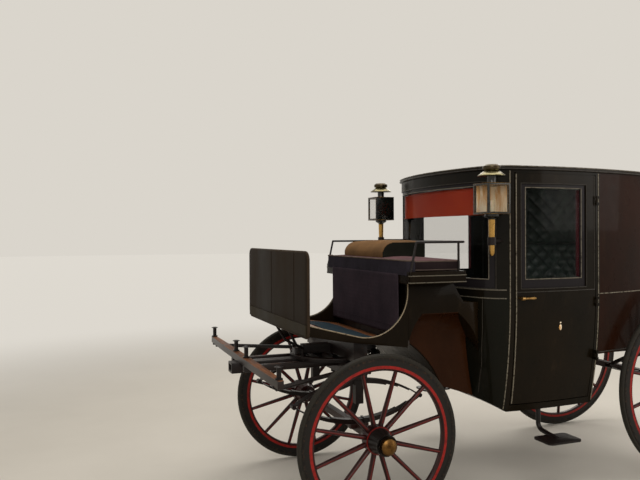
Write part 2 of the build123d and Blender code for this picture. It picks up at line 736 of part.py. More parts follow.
def boot():
    """The closed box between the turning gear and the driver's seat, with a hollow for each front wheel."""
    corner = (BOOT_CORNER_X, FOOT_HALF_W)
    tail = (BOOT_TAIL_X, BOOT_TAIL_Y)
    plan = make_face([Line((0, 0), (0, FOOT_HALF_W)), Line((0, FOOT_HALF_W), corner), TangentArc(corner, tail, tangent=(-1, 0)),
                      Line(tail, (BOOT_BACK_X, BOOT_TAIL_Y)), Line((BOOT_BACK_X, BOOT_TAIL_Y), (BOOT_BACK_X, 0)),
                      Line((BOOT_BACK_X, 0), (0, 0))])
    half = Pos(0, 0, BODY_BOTTOM_Z) * extrude(plan, SEAT_UNDER_Z - BODY_BOTTOM_Z)
    hollow = extrude(hollow_outline(), FOOT_HALF_W + CUT, dir=(0, 1, 0))
    half -= hollow & beyond_hollow_wall(0)
    arch_x = -sqrt(ARCH_R ** 2 - (ARCH_HIGH_Z - FRONT_WHEEL_R) ** 2)
    outline = [BOOT_TAIL_LOW, ARCH_LOW, (arch_x, ARCH_HIGH_Z), (RISER_X + RISER_LEAN, ARCH_HIGH_Z), (RISER_X, SEAT_UNDER_Z),
               BOOT_SHOULDER, BOOT_NECK, (BOOT_BACK_X, BOOT_BACK_Z), (BOOT_BACK_X, BOOT_TAIL_LOW[1])]
    body = (half + mirror(half, Plane.XZ)) & side_prism(outline, BODY_HALF_W)
    return body - arch_volume(0) - body_volume(FIT, BODY_BOTTOM_Z - CUT, BELT_Z + 2 * CUT)


def boot_side_panel():
    """The curved sheet that lines the left hollow."""
    sheet = beyond_hollow_wall(FIT) - beyond_hollow_wall(FIT + LINING_T)
    outline = extrude(offset(hollow_outline(), -FIT), FOOT_HALF_W, dir=(0, 1, 0))
    tail = [BOOT_TAIL_LOW, ARCH_LOW, (RISER_X, ARCH_LOW[1]), (RISER_X, SEAT_UNDER_Z), (BOOT_BACK_X, SEAT_UNDER_Z),
            (BOOT_BACK_X, BOOT_TAIL_LOW[1])]
    panel = sheet & outline & side_prism(tail, BODY_HALF_W)
    return panel - arch_volume(LINING_ARCH_GAP) - body_volume(LINING_BACK_GAP, BODY_BOTTOM_Z - CUT, BELT_Z)


FOOT_FRONT_X = DASH_X - DASH_T / 2 - FIT
FOOT_REAR_LOW = (RISER_X + RISER_LEAN + FIT, ARCH_HIGH_Z)


def foot_under(x):
    """Height of the footboard's underside at x, ahead of its knee."""
    share = (x - FOOT_KNEE[0]) / (FOOT_FRONT_X - FOOT_KNEE[0])
    return FOOT_KNEE[1] + share * (FOOT_FRONT_LOW_Z - FOOT_KNEE[1])


def footboard():
    """The board under the driver's feet, from the boot up to the dash."""
    under = [FOOT_REAR_LOW, FOOT_KNEE, (FOOT_FRONT_X, FOOT_FRONT_LOW_Z)]
    points = under + [(x, z + FOOT_FLOOR_T) for x, z in reversed(under)]
    return side_prism(points, FOOT_HALF_W - FOOT_SIDE_T - FIT)


def footboard_side():
    """The left side of the foot well, with its sweeping upper edge."""
    y = FOOT_HALF_W - FOOT_SIDE_T
    top = [(FOOT_FRONT_X, FOOT_EDGE_FRONT_Z), (FOOT_BACK_X, FOOT_CURVE_CORNER_Z), (FOOT_BACK_X, SEAT_UNDER_Z)]
    under = [(FOOT_BACK_X, SEAT_UNDER_Z), (RISER_X + FIT, SEAT_UNDER_Z), FOOT_REAR_LOW, FOOT_KNEE,
             (FOOT_FRONT_X, FOOT_FRONT_LOW_Z), (FOOT_FRONT_X, FOOT_EDGE_FRONT_Z)]
    sweep_edge = FilletPolyline(*[(x, y, z) for x, z in top], radius=FOOT_CURVE_R)
    face = make_face([sweep_edge, Polyline(*[(x, y, z) for x, z in under])])
    return extrude(face, FOOT_SIDE_T, dir=(0, 1, 0))


def footboard_iron():
    """A bent iron from the upper turning plate out to the footboard's underside, on the left."""
    ring_r = PLATE_R - PLATE_BAND / 2
    foot_z = BED_TOP_Z + 2 * PLATE_T + FIT + TOUCH
    bend = (ring_r, FOOT_IRON_BEND[1] - (FOOT_IRON_BEND[0] - ring_r) / 2)
    points = [(ring_r, foot_z), bend, FOOT_IRON_BEND, FOOT_IRON_HIGH]
    path = FilletPolyline(*[(x, 0, z) for x, z in points], radius=FOOT_IRON_R * 2)
    iron = sweep(Plane(path ^ 0) * Circle(FOOT_IRON_R), path=path)
    iron += Pos(ring_r, 0, foot_z) * Cylinder(FOOT_IRON_R * 2, PLATE_T / 2, align=(Align.CENTER, Align.CENTER, Align.MIN))
    above = side_prism([(x, foot_under(x) - FIT) for x in (0, FOOT_FRONT_X + CUT)]
                       + [(FOOT_FRONT_X + CUT, DASH_HIGH_Z), (0, DASH_HIGH_Z)], FOOT_HALF_W)
    return Rot(0, 0, FOOT_IRON_TURN) * iron - above


def dash():
    """Leather over an iron frame, with rounded corners."""
    half = DASH_T / 2
    sheet = block(DASH_X - half, DASH_X + half, -DASH_HALF_W, DASH_HALF_W, DASH_LOW_Z, DASH_HIGH_Z)
    return fillet(sheet.edges().filter_by(Axis.X), DASH_CORNER_R)


def drivers_seat():
    """The seat board, which overhangs the boot, with rounded upright corners."""
    board = block(SEAT_FRONT_X, SEAT_BACK_X, -SEAT_HALF_W, SEAT_HALF_W, SEAT_UNDER_Z, SEAT_UNDER_Z + SEAT_T)
    return fillet(board.edges().filter_by(Axis.Z), SEAT_EDGE_R)


def seat_cushion():
    low = SEAT_UNDER_Z + SEAT_T + FIT
    half = SEAT_HALF_W - CUSHION_SIDE
    return block(SEAT_FRONT_X - CUSHION_FRONT, SEAT_BACK_X + CUSHION_SIDE, -half, half, low, low + CUSHION_T)


def wedge_cushion():
    """The driver's own cushion on the right of the seat, which rises from the front in a curve."""
    low = SEAT_UNDER_Z + SEAT_T + CUSHION_T + 2 * FIT
    front = (WEDGE_FRONT_X, low + WEDGE_FRONT_T)
    top = (WEDGE_TOP_X, low + WEDGE_T)
    run = front[0] - top[0]
    rise = top[1] - front[1]
    bulge = WEDGE_BULGE / hypot(run, rise)
    middle = ((front[0] + top[0]) / 2 + bulge * rise, (front[1] + top[1]) / 2 + bulge * run)
    face = side_face(((WEDGE_FRONT_X, low), front), (front, middle, top), (top, (WEDGE_BACK_X, low + WEDGE_T)),
                     ((WEDGE_BACK_X, low + WEDGE_T), (WEDGE_BACK_X, low)), ((WEDGE_BACK_X, low), (WEDGE_FRONT_X, low)))
    return Pos(0, WEDGE_FAR_Y, 0) * extrude(face, WEDGE_NEAR_Y - WEDGE_FAR_Y, dir=(0, 1, 0))


def seat_fall():
    """The cloth that hangs from the front of the seat."""
    x = SEAT_FRONT_X - FALL_GAP
    return block(x - FALL_T, x, -FALL_HALF_W, FALL_HALF_W, FALL_LOW_Z, SEAT_UNDER_Z - FIT)


def seat_rail():
    """A low iron rail round the sides and back of the seat, on posts that lean at the front."""
    top = SEAT_UNDER_Z + SEAT_T + TOUCH
    y = SEAT_HALF_W - RAIL_IN
    corners = [(RAIL_FRONT_X, y, RAIL_Z), (RAIL_BACK_X, y, RAIL_Z), (RAIL_BACK_X, -y, RAIL_Z), (RAIL_FRONT_X, -y, RAIL_Z)]
    path = FilletPolyline(*corners, radius=RAIL_CORNER_R)
    rail = sweep(Plane(path ^ 0) * Circle(RAIL_R), path=path)
    below = block(RAIL_BACK_X - CUT, SEAT_FRONT_X + CUT, -2 * y, 2 * y, top - CUT, top)
    for side in (1, -1):
        rail += Pos(RAIL_FRONT_X, side * y, RAIL_Z) * Sphere(RAIL_R)
        rail += rod((RAIL_FRONT_X + RAIL_POST_LEAN, side * y, top - RAIL_R), (RAIL_FRONT_X, side * y, RAIL_Z), RAIL_R)
        rail += rod((RAIL_BACK_POST_X, side * y, top - RAIL_R), (RAIL_BACK_POST_X, side * y, RAIL_Z), RAIL_R)
    return rail - below


def lamp():
    """A carriage lamp: square case glazed in front and outside, turned hood, crown, pan and candle tube."""
    half = LAMP_BOX / 2
    inner = half - LAMP_FRAME
    low = LAMP_LOW_Z + LAMP_FRAME
    high = LAMP_HIGH_Z - LAMP_FRAME
    case = block(-half, half, -half, half, LAMP_LOW_Z, LAMP_HIGH_Z)
    case -= block(-inner, half, -inner, inner, low, high) + block(-inner, inner, -inner, half, low, high)
    tube = turned((0, LAMP_TUBE_LOW_Z), (LAMP_TUBE_TIP_R / 2, LAMP_TUBE_LOW_Z), (LAMP_TUBE_TIP_R, LAMP_TUBE_LOW_Z + LAMP_TIP_H),
                  (LAMP_TUBE_R, LAMP_LOW_Z - LAMP_PAN_H), (LAMP_PAN_R, LAMP_LOW_Z - LAMP_PAN_H / 2),
                  (LAMP_PAN_R, LAMP_LOW_Z), (0, LAMP_LOW_Z))
    edge_z = LAMP_HOOD_Z + LAMP_HOOD_EDGE
    top = turned((0, LAMP_HIGH_Z), (LAMP_NECK_R, LAMP_HIGH_Z), (LAMP_NECK_R, LAMP_HOOD_Z), (LAMP_HOOD_R, LAMP_HOOD_Z),
                 (LAMP_HOOD_R, edge_z), (LAMP_CROWN_R, LAMP_CROWN_Z), (LAMP_CROWN_TOP_R, LAMP_CROWN_Z + LAMP_HOOD_EDGE),
                 (LAMP_CROWN_TOP_R, LAMP_TOP_Z - 2 * LAMP_HOOD_EDGE), (LAMP_CROWN_R, LAMP_TOP_Z), (0, LAMP_TOP_Z))
    return Pos(LAMP_X, LAMP_Y, 0) * (case + tube + top)


def lamp_tube_r(z):
    """Radius of the lamp's tapered tube at height z."""
    low = LAMP_TUBE_LOW_Z + LAMP_TIP_H
    share = (z - low) / (LAMP_LOW_Z - LAMP_PAN_H - low)
    return LAMP_TUBE_TIP_R + share * (LAMP_TUBE_R - LAMP_TUBE_TIP_R)


def lamp_iron():
    """The iron that holds the lamp's tube, from the body's front corner."""
    turn = radians(LAMP_ARM_BEARING)
    start_r = CORNER_R - WALL / 2
    start = (CORNER_C[0] + start_r * cos(turn), CORNER_C[1] + start_r * sin(turn), LAMP_ARM_Z)
    arm = rod(start, (LAMP_X, LAMP_Y, LAMP_ARM_Z), LAMP_ARM_R)
    arm -= band(0, 90, LAMP_ARM_Z - CUT, LAMP_ARM_Z + CUT, -WALL, FIT)
    low = LAMP_ARM_Z - LAMP_SOCKET_H / 2
    high = LAMP_ARM_Z + LAMP_SOCKET_H / 2
    outer_r = lamp_tube_r(high) + LAMP_SOCKET_T
    socket = rod((LAMP_X, LAMP_Y, low), (LAMP_X, LAMP_Y, high), outer_r)
    bore = turned((0, low), (lamp_tube_r(low) + FIT, low), (lamp_tube_r(high) + FIT, high), (0, high))
    return arm + socket - Pos(LAMP_X, LAMP_Y, 0) * bore


def lamp_glass():
    """Two flat panes, in the front and the outer side of the lamp."""
    low = LAMP_LOW_Z + LAMP_FRAME + FIT
    high = LAMP_HIGH_Z - LAMP_FRAME - FIT
    reach = LAMP_BOX / 2 - LAMP_FRAME - FIT
    face = LAMP_BOX / 2 - PANE_IN
    panes = [block(face - PANE_T, face, -reach, reach, low, high), block(-reach, reach, face - PANE_T, face, low, high)]
    return [Pos(LAMP_X, LAMP_Y, 0) * pane for pane in panes]


def step():
    """The fixed step under the left door: a bent iron and a flat tread."""
    top_y = side_y(STEP_X) - inset(BODY_BOTTOM_Z) - STEP_IRON_IN
    end_z = STEP_Z + STEP_T
    path = FilletPolyline((STEP_X, top_y, BODY_BOTTOM_Z - TOUCH), (STEP_X, top_y, end_z + STEP_IRON_R),
                          (STEP_X, STEP_Y, end_z - STEP_T / 2), radius=STEP_IRON_BEND_R)
    iron = sweep(Plane(path ^ 0) * Circle(STEP_IRON_R), path=path)
    tread = block(STEP_X - STEP_L / 2, STEP_X + STEP_L / 2, STEP_Y - STEP_W / 2, STEP_Y + STEP_W / 2, STEP_Z, end_z)
    tread = fillet(tread.edges().filter_by(Axis.Z), STEP_CORNER_R)
    under = block(STEP_X - STEP_L, STEP_X + STEP_L, STEP_Y - STEP_W / 2, STEP_Y + STEP_W, STEP_Z - CUT, STEP_Z)
    return iron + tread - under


def elliptic_spring(x, y, half_length, low, high):
    """Two bowed packs of leaves, bolted together at an eye at each end and clipped near the middle."""
    middle = (low + high) / 2
    rise = (high - low) / 2 - LEAF_T / 2
    radius = (half_length ** 2 + rise ** 2) / (2 * rise)
    pack_t = LEAVES * LEAF_T
    result = None
    for side in (1, -1):
        for leaf in range(LEAVES):
            reach = half_length * (1 - LEAF_STEP * leaf)
            outer = radius + LEAF_T / 2 - leaf * LEAF_T
            ring = Circle(outer) - Circle(outer - LEAF_T)
            keep = Pos(0, side * radius) * Rectangle(2 * reach, radius * 1.2)
            piece = Pos(x, y + LEAF_W / 2, middle + side * (rise - radius)) * Rot(90, 0, 0) * extrude(ring & keep, LEAF_W)
            result = piece if result is None else result + piece
        outer_z = middle + side * (high - low) / 2
        inner_z = outer_z - side * (pack_t + CLIP_T)
        for end in (1, -1):
            result += block(x + end * CLIP_X - CLIP_L / 2, x + end * CLIP_X + CLIP_L / 2, y - LEAF_W / 2 - CLIP_T,
                            y + LEAF_W / 2 + CLIP_T, outer_z - side * LEAF_T, inner_z)
    for end in (1, -1):
        eye = Pos(x + end * half_length, y, middle) * Rot(90, 0, 0)
        result += eye * Cylinder(SPRING_EYE_R, LEAF_W)
        result += eye * Cylinder(SPRING_BOLT_R, LEAF_W + 2 * SPRING_BOLT_OUT)
    return result


def front_springs():
    """The pair over the front axle, each with a block that limits its travel."""
    pair = []
    for side in (1, -1):
        y = side * SPRING_Y
        top = FRONT_SPRING_HIGH_Z - (LEAVES - 1) * LEAF_T
        buffer = block(-BUFFER_HALF_L, BUFFER_HALF_L, y - LEAF_W / 2, y + LEAF_W / 2, top - BUFFER_H, top)
        pair.append(elliptic_spring(0, y, FRONT_SPRING_HALF, FRONT_SPRING_LOW_Z, FRONT_SPRING_HIGH_Z) + buffer)
    return as_solids(pair)


def rear_springs():
    return as_solids([elliptic_spring(REAR_AXLE_X, side * REAR_SPRING_Y, REAR_SPRING_HALF, REAR_SPRING_LOW_Z,
                                      REAR_SPRING_HIGH_Z) for side in (1, -1)])


def axle(x, wheel_r, tread_y, spring_y, spring_low):
    """A square beam with round arms, shoulders and a seat for each spring."""
    nave_y = tread_y - DISH
    shoulder_y = nave_y - NAVE_IN - END_PLAY
    half = AXLE_BEAM / 2
    beam = block(x - half, x + half, -shoulder_y, shoulder_y, wheel_r - half, wheel_r + half)
    for side in (1, -1):
        beam += rod((x, side * (shoulder_y - SHOULDER_T), wheel_r), (x, side * shoulder_y, wheel_r), SHOULDER_R)
        beam += rod((x, side * (shoulder_y - SHOULDER_T), wheel_r), (x, side * (nave_y + NAVE_OUT - NAVE_BAND_L), wheel_r),
                    AXLE_ARM_R)
        beam += block(x - SPRING_SEAT_HALF_L, x + SPRING_SEAT_HALF_L, side * spring_y - LEAF_W / 2,
                      side * spring_y + LEAF_W / 2, wheel_r, spring_low - TOUCH)
    return beam


def spoke(rim_r):
    """One oval spoke, tapered from inside the nave to the felloe and leaning out by the dish."""
    root = Vector(NAVE_R - NAVE_BELLY, 0, 0)
    tip = Vector(rim_r - FELLOE_T + SPOKE_TONGUE, 0, DISH)
    sections = []
    for place, size in ((root, SPOKE_ROOT), (tip, SPOKE_TIP)):
        sections.append(Plane(origin=place, x_dir=(0, 1, 0), z_dir=tip - root) * Ellipse(*size))
    return loft(sections)


def wheel(x, radius, tread_y, spokes):
    """Felloes, spokes and a turned nave of the left wheel, in one."""
    rim_r = radius - TYRE_T
    half = FELLOE_W / 2
    inner_r = rim_r - FELLOE_T
    result = Pos(0, 0, DISH) * turned((rim_r, -half), (rim_r, half), (inner_r + FELLOE_CHAMFER, half),
                                      (inner_r, half - FELLOE_CHAMFER), (inner_r, FELLOE_CHAMFER - half),
                                      (inner_r + FELLOE_CHAMFER, -half))
    for index in range(spokes):
        result += Rot(0, 0, 360 * (index + 0.5) / spokes) * spoke(rim_r)
    step_r = NAVE_R - NAVE_STEP
    band_h = NAVE_OUT - NAVE_BAND_L
    result += turned((0, -NAVE_IN), (NAVE_BACK_R, -NAVE_IN), (step_r, -NAVE_BELLY), (NAVE_R, -NAVE_BELLY),
                     (NAVE_R, NAVE_BELLY), (step_r, NAVE_BELLY), (NAVE_FRONT_R, band_h),
                     (NAVE_FRONT_R + NAVE_BAND_T, band_h), (NAVE_FRONT_R + NAVE_BAND_T, NAVE_OUT), (0, NAVE_OUT))
    result -= Cylinder(AXLE_ARM_R + ARM_CLEARANCE, 3 * NAVE_OUT)
    return Pos(x, tread_y - DISH, radius) * Rot(-90, 0, 0) * result


def tyre(x, radius, tread_y):
    """A rubber tyre with a rounded tread, in a steel channel with two lips."""
    half = TYRE_W / 2
    inner_r = radius - TYRE_T
    lip_r = inner_r + CHANNEL_LIP_H
    side_r = radius - TREAD_CROWN
    rubber = half - CHANNEL_LIP_T
    profile = [(side_r, -rubber), (lip_r, -rubber), (lip_r, -half), (inner_r, -half), (inner_r, half), (lip_r, half),
               (lip_r, rubber), (side_r, rubber)]
    edges = [Polyline(*[(r, 0, h) for r, h in profile]),
             ThreePointArc((side_r, 0, rubber), (radius, 0, 0), (side_r, 0, -rubber))]
    return Pos(x, tread_y, radius) * Rot(-90, 0, 0) * revolve(make_face(edges), Axis.Z)


def hub_cap(x, radius, tread_y):
    """The brass cap that closes the nave: a flat-sided collar for the wrench and a domed end."""
    collar = extrude(RegularPolygon(CAP_COLLAR_R, CAP_COLLAR_SIDES), CAP_COLLAR_L)
    dome_h = (CAP_L - CAP_COLLAR_L) / 2
    dome_r = (CAP_R ** 2 + dome_h ** 2) / (2 * dome_h)
    dome = rod((0, 0, 0), (0, 0, CAP_L), CAP_R) & (Pos(0, 0, CAP_L - dome_r) * Sphere(dome_r))
    return Pos(x, tread_y - DISH + NAVE_OUT, radius) * Rot(-90, 0, 0) * (collar + dome)


def plate_ring(low):
    ring = Cylinder(PLATE_R, PLATE_T) - Cylinder(PLATE_R - PLATE_BAND, PLATE_T)
    return Pos(0, 0, low + PLATE_T / 2) * ring


def upper_wheel_plate():
    """The upper ring of the turning gear, its transoms, and the bed that carries the boot on it."""
    low = BED_TOP_Z + PLATE_T + FIT
    top = low + PLATE_T
    result = plate_ring(low)
    result += block(-BED_W / 2, BED_W / 2, -BED_HALF_L, BED_HALF_L, top, UPPER_BED_TOP_Z - FIT)
    result += block(-BED_W / 2, BED_W / 2, -PLATE_HUB_HALF, PLATE_HUB_HALF, low, top)
    for side in (1, -1):
        for start, end, height in ((0, TRANSOM_STEP_X, TRANSOM_H), (TRANSOM_STEP_X, TRANSOM_END_X, TRANSOM_END_H)):
            result += block(side * start, side * end, -TRANSOM_HALF_W, TRANSOM_HALF_W, top, top + height)
    return result - rod((0, 0, low - CUT), (0, 0, UPPER_BED_TOP_Z + CUT), PERCH_BOLT_R)


def perch_bolt():
    """The king bolt, fixed in the upper bed, on which the turning gear swings."""
    low = BED_TOP_Z - PERCH_BOLT_DROP
    head = rod((0, 0, low), (0, 0, low + PERCH_HEAD_T), PERCH_HEAD_R)
    return head + rod((0, 0, low), (0, 0, UPPER_BED_TOP_Z - FIT), PERCH_BOLT_R)


def futchell(side):
    """One of the two long bars from behind the bed to the splinter bar, with its rear end chamfered."""
    y = side * FUTCHELL_Y
    low = BED_TOP_Z - FUTCHELL_T
    points = [(FUTCHELL_BACK_X, BED_TOP_Z), (FUTCHELL_BACK_X, low + FUTCHELL_CHAMFER), (FUTCHELL_BACK_X + FUTCHELL_CHAMFER, low),
              (SPLINTER_X + SPLINTER_W / 2, low), (SPLINTER_X + SPLINTER_W / 2, BED_TOP_Z)]
    return Pos(0, y, 0) * side_prism(points, FUTCHELL_W / 2)


def front_bed():
    """The lower bed on the front springs, notched for the long bars."""
    low = FRONT_SPRING_HIGH_Z + TOUCH
    bed = block(-BED_W / 2, BED_W / 2, -BED_HALF_L, BED_HALF_L, low, BED_TOP_Z)
    bore = rod((0, 0, low - CUT), (0, 0, BED_TOP_Z + CUT), PERCH_BOLT_R + ARM_CLEARANCE)
    return bed - futchell(1) - futchell(-1) - bore


def splinter_bar():
    """The bar the traces pull on, thinner towards its ends."""
    half = SPLINTER_W / 2
    taper_y = SPLINTER_HALF_L / 2
    points = [(-half, 0), (-half, taper_y), (-half * SPLINTER_TIP, SPLINTER_HALF_L), (half * SPLINTER_TIP, SPLINTER_HALF_L),
              (half, taper_y), (half, 0)]
    face = make_face(Polyline(*[(SPLINTER_X + x, y, BED_TOP_Z) for x, y in points], close=True))
    bar = extrude(face, SPLINTER_T)
    return bar + mirror(bar, Plane.XZ)


def splinter_stay():
    """The iron that braces the splinter bar's left end back to the bed."""
    z = BED_TOP_Z - TOUCH - STAY_R
    y = SPLINTER_HALF_L - STAY_IN
    stay = rod((0, STAY_BED_Y, z), (SPLINTER_X, y, z), STAY_R)
    stay -= block(-CUT, BED_W / 2 + TOUCH, 0, SPLINTER_HALF_L, z - CUT, z + CUT)
    top = BED_TOP_Z - TOUCH
    return stay + rod((SPLINTER_X, y, top - STAY_PAD_T), (SPLINTER_X, y, top), STAY_PAD_R)


def roller_bolts():
    """Four upright bolts with domed heads, for the traces."""
    low = BED_TOP_Z + SPLINTER_T + TOUCH
    shank = turned((0, 0), (ROLLER_FOOT_R, 0), (ROLLER_FOOT_R, ROLLER_FOOT_T), (ROLLER_R, ROLLER_FOOT_T),
                   (ROLLER_R, ROLLER_H - ROLLER_HEAD_T), (ROLLER_HEAD_R, ROLLER_H - ROLLER_HEAD_T / 2),
                   (ROLLER_R, ROLLER_H), (0, ROLLER_H))
    bolts = []
    for y in (SPLINTER_HALF_L - ROLLER_END, ROLLER_INNER_Y):
        bolts += both(Pos(SPLINTER_X, y, low) * shank)
    return as_solids(bolts)


def pole_socket():
    """The jaw under the splinter bar that takes the pole, with its bolt hole."""
    top = BED_TOP_Z - TOUCH
    low = top - JAW_H
    back = BED_W / 2 + JAW_BACK
    inner_y = JAW_HALF_W - JAW_T
    cross_y = FUTCHELL_Y - FUTCHELL_W / 2 - TOUCH
    jaw = block(back, POLE_TIP_X, -JAW_HALF_W, JAW_HALF_W, low, top)
    jaw += block(back, back + JAW_CROSS_L, -cross_y, cross_y, top - JAW_CROSS_H, top)
    jaw -= block(back + JAW_CROSS_L, POLE_TIP_X + CUT, -inner_y, inner_y, low + JAW_T, top - JAW_T)
    return jaw - rod((POLE_BOLT_X, 0, low - CUT), (POLE_BOLT_X, 0, top + CUT), POLE_BOLT_R)


def rear_spring_irons():
    """Two long irons under the rear floor that rest on the springs, with a cross bar."""
    top = REAR_FLOOR_Z - TOUCH
    low = top - IRON_T + 2 * TOUCH
    back_x = REAR_AXLE_X - 2 * IRON_W
    irons = block(REAR_AXLE_X - IRON_W / 2, REAR_AXLE_X + IRON_W / 2, -REAR_SPRING_Y, REAR_SPRING_Y, low, top)
    for side in (1, -1):
        y = side * REAR_SPRING_Y
        irons += block(REAR_POST_X - 2 * FLOOR_T, back_x, y - IRON_W / 2, y + IRON_W / 2, low, top)
    return irons


def main():
    single = {"floor": floor, "lower_front_panel": lower_front_panel, "front_window_frame": front_window_frame,
              "front_glass": front_glass, "front_blind": front_blind, "back_panel": back_panel, "roof": roof,
              "inside_seat_box": inside_seat_box, "inside_cushion": inside_cushion, "inside_squab": inside_squab,
              "boot": boot, "footboard": footboard, "dash": dash, "drivers_seat": drivers_seat,
              "seat_cushion": seat_cushion, "wedge_cushion": wedge_cushion, "seat_fall": seat_fall,
              "seat_rail": seat_rail, "upper_wheel_plate": upper_wheel_plate, "perch_bolt": perch_bolt,
              "rear_springs": rear_springs, "rear_spring_irons": rear_spring_irons, "front_bed": front_bed,
              "front_springs": front_springs, "splinter_bar": splinter_bar, "roller_bolts": roller_bolts,
              "pole_socket": pole_socket}
    for name, make in single.items():
        save(name, make())
    # Made for the left side; its mirror image shares the node
    paired = {"door_frames": door_frame, "lower_quarters": lower_quarter, "upper_quarters": upper_quarter,
              "boot_side_panels": boot_side_panel, "footboard_sides": footboard_side,
              "footboard_irons": footboard_iron, "lamps": lamp, "lamp_irons": lamp_iron, "steps": step,
              "splinter_stays": splinter_stay}
    for name, make in paired.items():
        save(name, as_solids(both(make())))
    save("lamp_glasses", as_solids([copy for pane in lamp_glass() for copy in both(pane)]))
    save("lower_wheel_plate", plate_ring(BED_TOP_Z))
    save("futchells", as_solids([futchell(1), futchell(-1)]))
    save("front_axle", axle(0, FRONT_WHEEL_R, FRONT_TREAD_Y, SPRING_Y, FRONT_SPRING_LOW_Z))
    save("rear_axle", axle(REAR_AXLE_X, REAR_WHEEL_R, REAR_TREAD_Y, REAR_SPRING_Y, REAR_SPRING_LOW_Z))
    # Each door and wheel piece is a node of its own on either side
    pieces = {"door": door(), "door_glass": door_glass(), "door_handle": door_handle()}
    # where it stands, radius, tread distance, number of spokes
    wheels = [("front", 0, FRONT_WHEEL_R, FRONT_TREAD_Y, FRONT_SPOKES),
              ("rear", REAR_AXLE_X, REAR_WHEEL_R, REAR_TREAD_Y, REAR_SPOKES)]
    for place, x, radius, tread_y, spokes in wheels:
        pieces[f"wheel_{place}"] = wheel(x, radius, tread_y, spokes)
        pieces[f"tyre_{place}"] = tyre(x, radius, tread_y)
        pieces[f"hub_cap_{place}"] = hub_cap(x, radius, tread_y)
    for name, shape in pieces.items():
        save(f"{name}_left", shape)
        save(f"{name}_right", mirror(shape, Plane.XZ))


main()
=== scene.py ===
# %% [markdown]
# # Dressing a closed horse-drawn carriage
#
# The solids of the carriage come from a finished frame: every board, wheel, spring and panel is
# already in its place, in metres, with +X towards the horses, +Y to the carriage's left and +Z up.
# This lesson gives each of them its real finish, and adds what solids are poor at: upholstery,
# cloth, worn paint, thin mouldings, lamp glass and brass.

# %% Load the fixed frame
import bpy
import bmesh
import math
from mathutils import Matrix, Vector
from mathutils.bvhtree import BVHTree


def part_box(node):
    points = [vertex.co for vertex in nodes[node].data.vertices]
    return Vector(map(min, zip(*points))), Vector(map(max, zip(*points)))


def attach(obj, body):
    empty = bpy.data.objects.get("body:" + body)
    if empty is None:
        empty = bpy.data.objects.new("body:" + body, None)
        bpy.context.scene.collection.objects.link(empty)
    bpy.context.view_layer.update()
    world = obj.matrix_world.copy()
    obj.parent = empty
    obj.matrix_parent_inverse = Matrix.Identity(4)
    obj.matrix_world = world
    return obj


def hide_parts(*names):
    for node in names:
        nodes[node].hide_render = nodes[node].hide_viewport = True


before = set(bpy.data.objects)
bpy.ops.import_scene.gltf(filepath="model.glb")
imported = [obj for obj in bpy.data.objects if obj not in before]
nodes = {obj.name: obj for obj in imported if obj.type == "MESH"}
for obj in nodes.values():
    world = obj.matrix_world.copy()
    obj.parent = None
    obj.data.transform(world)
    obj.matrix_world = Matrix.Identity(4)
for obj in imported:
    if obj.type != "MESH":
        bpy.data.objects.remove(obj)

scene = bpy.context.scene
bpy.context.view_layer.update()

# %% [markdown]
# The workshop sizes of the carriage are counted in millimetres from the front axle along the
# length, from the centre line across, and from the ground up. One helper turns them into the
# frame's metres, so that the numbers below can be read on the real carriage.

# %% Workshop sizes
AXLE_TO_MIDDLE = 1163


def at(x, y, z):
    return Vector(((x + AXLE_TO_MIDDLE) / 1000, y / 1000, z / 1000))


FRONT_HUB = at(0, 681, 500)
REAR_HUB = at(-2408, 673, 630)
# wheel radii in metres, over the tyre
FRONT_RADIUS = 0.5
REAR_RADIUS = 0.63
# height of the doors' belt, and about half the body's width, where the rays to its sides aim from
BELT = 1287
SIDE = 660
# a door's sash and its pane: rear end, front end, sill and head
DOOR_SASH = (-1508, -1000, 1340, 1998)
DOOR_PANE = (-1470, -1038, 1400, 1972)
# the front window's: half its width, sill and head
FRONT_SASH = (608, 1342, 2010)
FRONT_PANE = (570, 1402, 1984)
# middle of the left lamp, lengthways and across
LAMP_X = -712
LAMP_Y = 756
# two points of a solid that are closer than this, in metres, are one
MERGE = 0.00002
FORWARD = Vector((1, 0, 0))
BACKWARD = Vector((-1, 0, 0))
SIDES = (("left", 1), ("right", -1))
INWARD = {side: Vector((0, -sign, 0)) for side, sign in SIDES}
print("front hub", [round(c, 3) for c in FRONT_HUB], "rear hub", [round(c, 3) for c in REAR_HUB])

# %% [markdown]
# ## Camera
# The photograph was taken from the left front, at eye height, almost level. A camera is turned by a
# matrix whose columns are its right, its up and its backward direction.

# %% Camera
# the eye's place in metres, and the angles in radians, fitted to the photograph's wheels and lamps
eye = Vector((2.825, 4.137, 1.676))
yaw = -1.9314
pitch = -0.006
roll = -0.0049
ahead = Vector((math.cos(pitch) * math.cos(yaw), math.cos(pitch) * math.sin(yaw), math.sin(pitch)))
level = ahead.cross(Vector((0, 0, 1))).normalized()
above = level.cross(ahead)
right = level * math.cos(roll) + above * math.sin(roll)
above = above * math.cos(roll) - level * math.sin(roll)
camera = bpy.data.objects.new("camera", bpy.data.cameras.new("camera"))
turn = Matrix((right, above, -ahead)).transposed().to_4x4()
camera.matrix_world = Matrix.Translation(eye) @ turn
camera.data.lens = 37.6
camera.data.sensor_width = 36
camera.data.clip_end = 200
scene.collection.objects.link(camera)
scene.camera = camera
scene.view_settings.view_transform = "Standard"
print("camera height", round(eye.z, 2), "m")

# %% [markdown]
# ## Nodes and colours
# Paint cards give colours as sRGB hex values, while shaders want linear ones. One function turns
# the one into the other. A second adds any node, sets it, and links what it is given. The others
# are the few recipes that every finish below is cooked from: soft patches, a mix of two colours, a
# sum, a relief, and the last links to the shader.

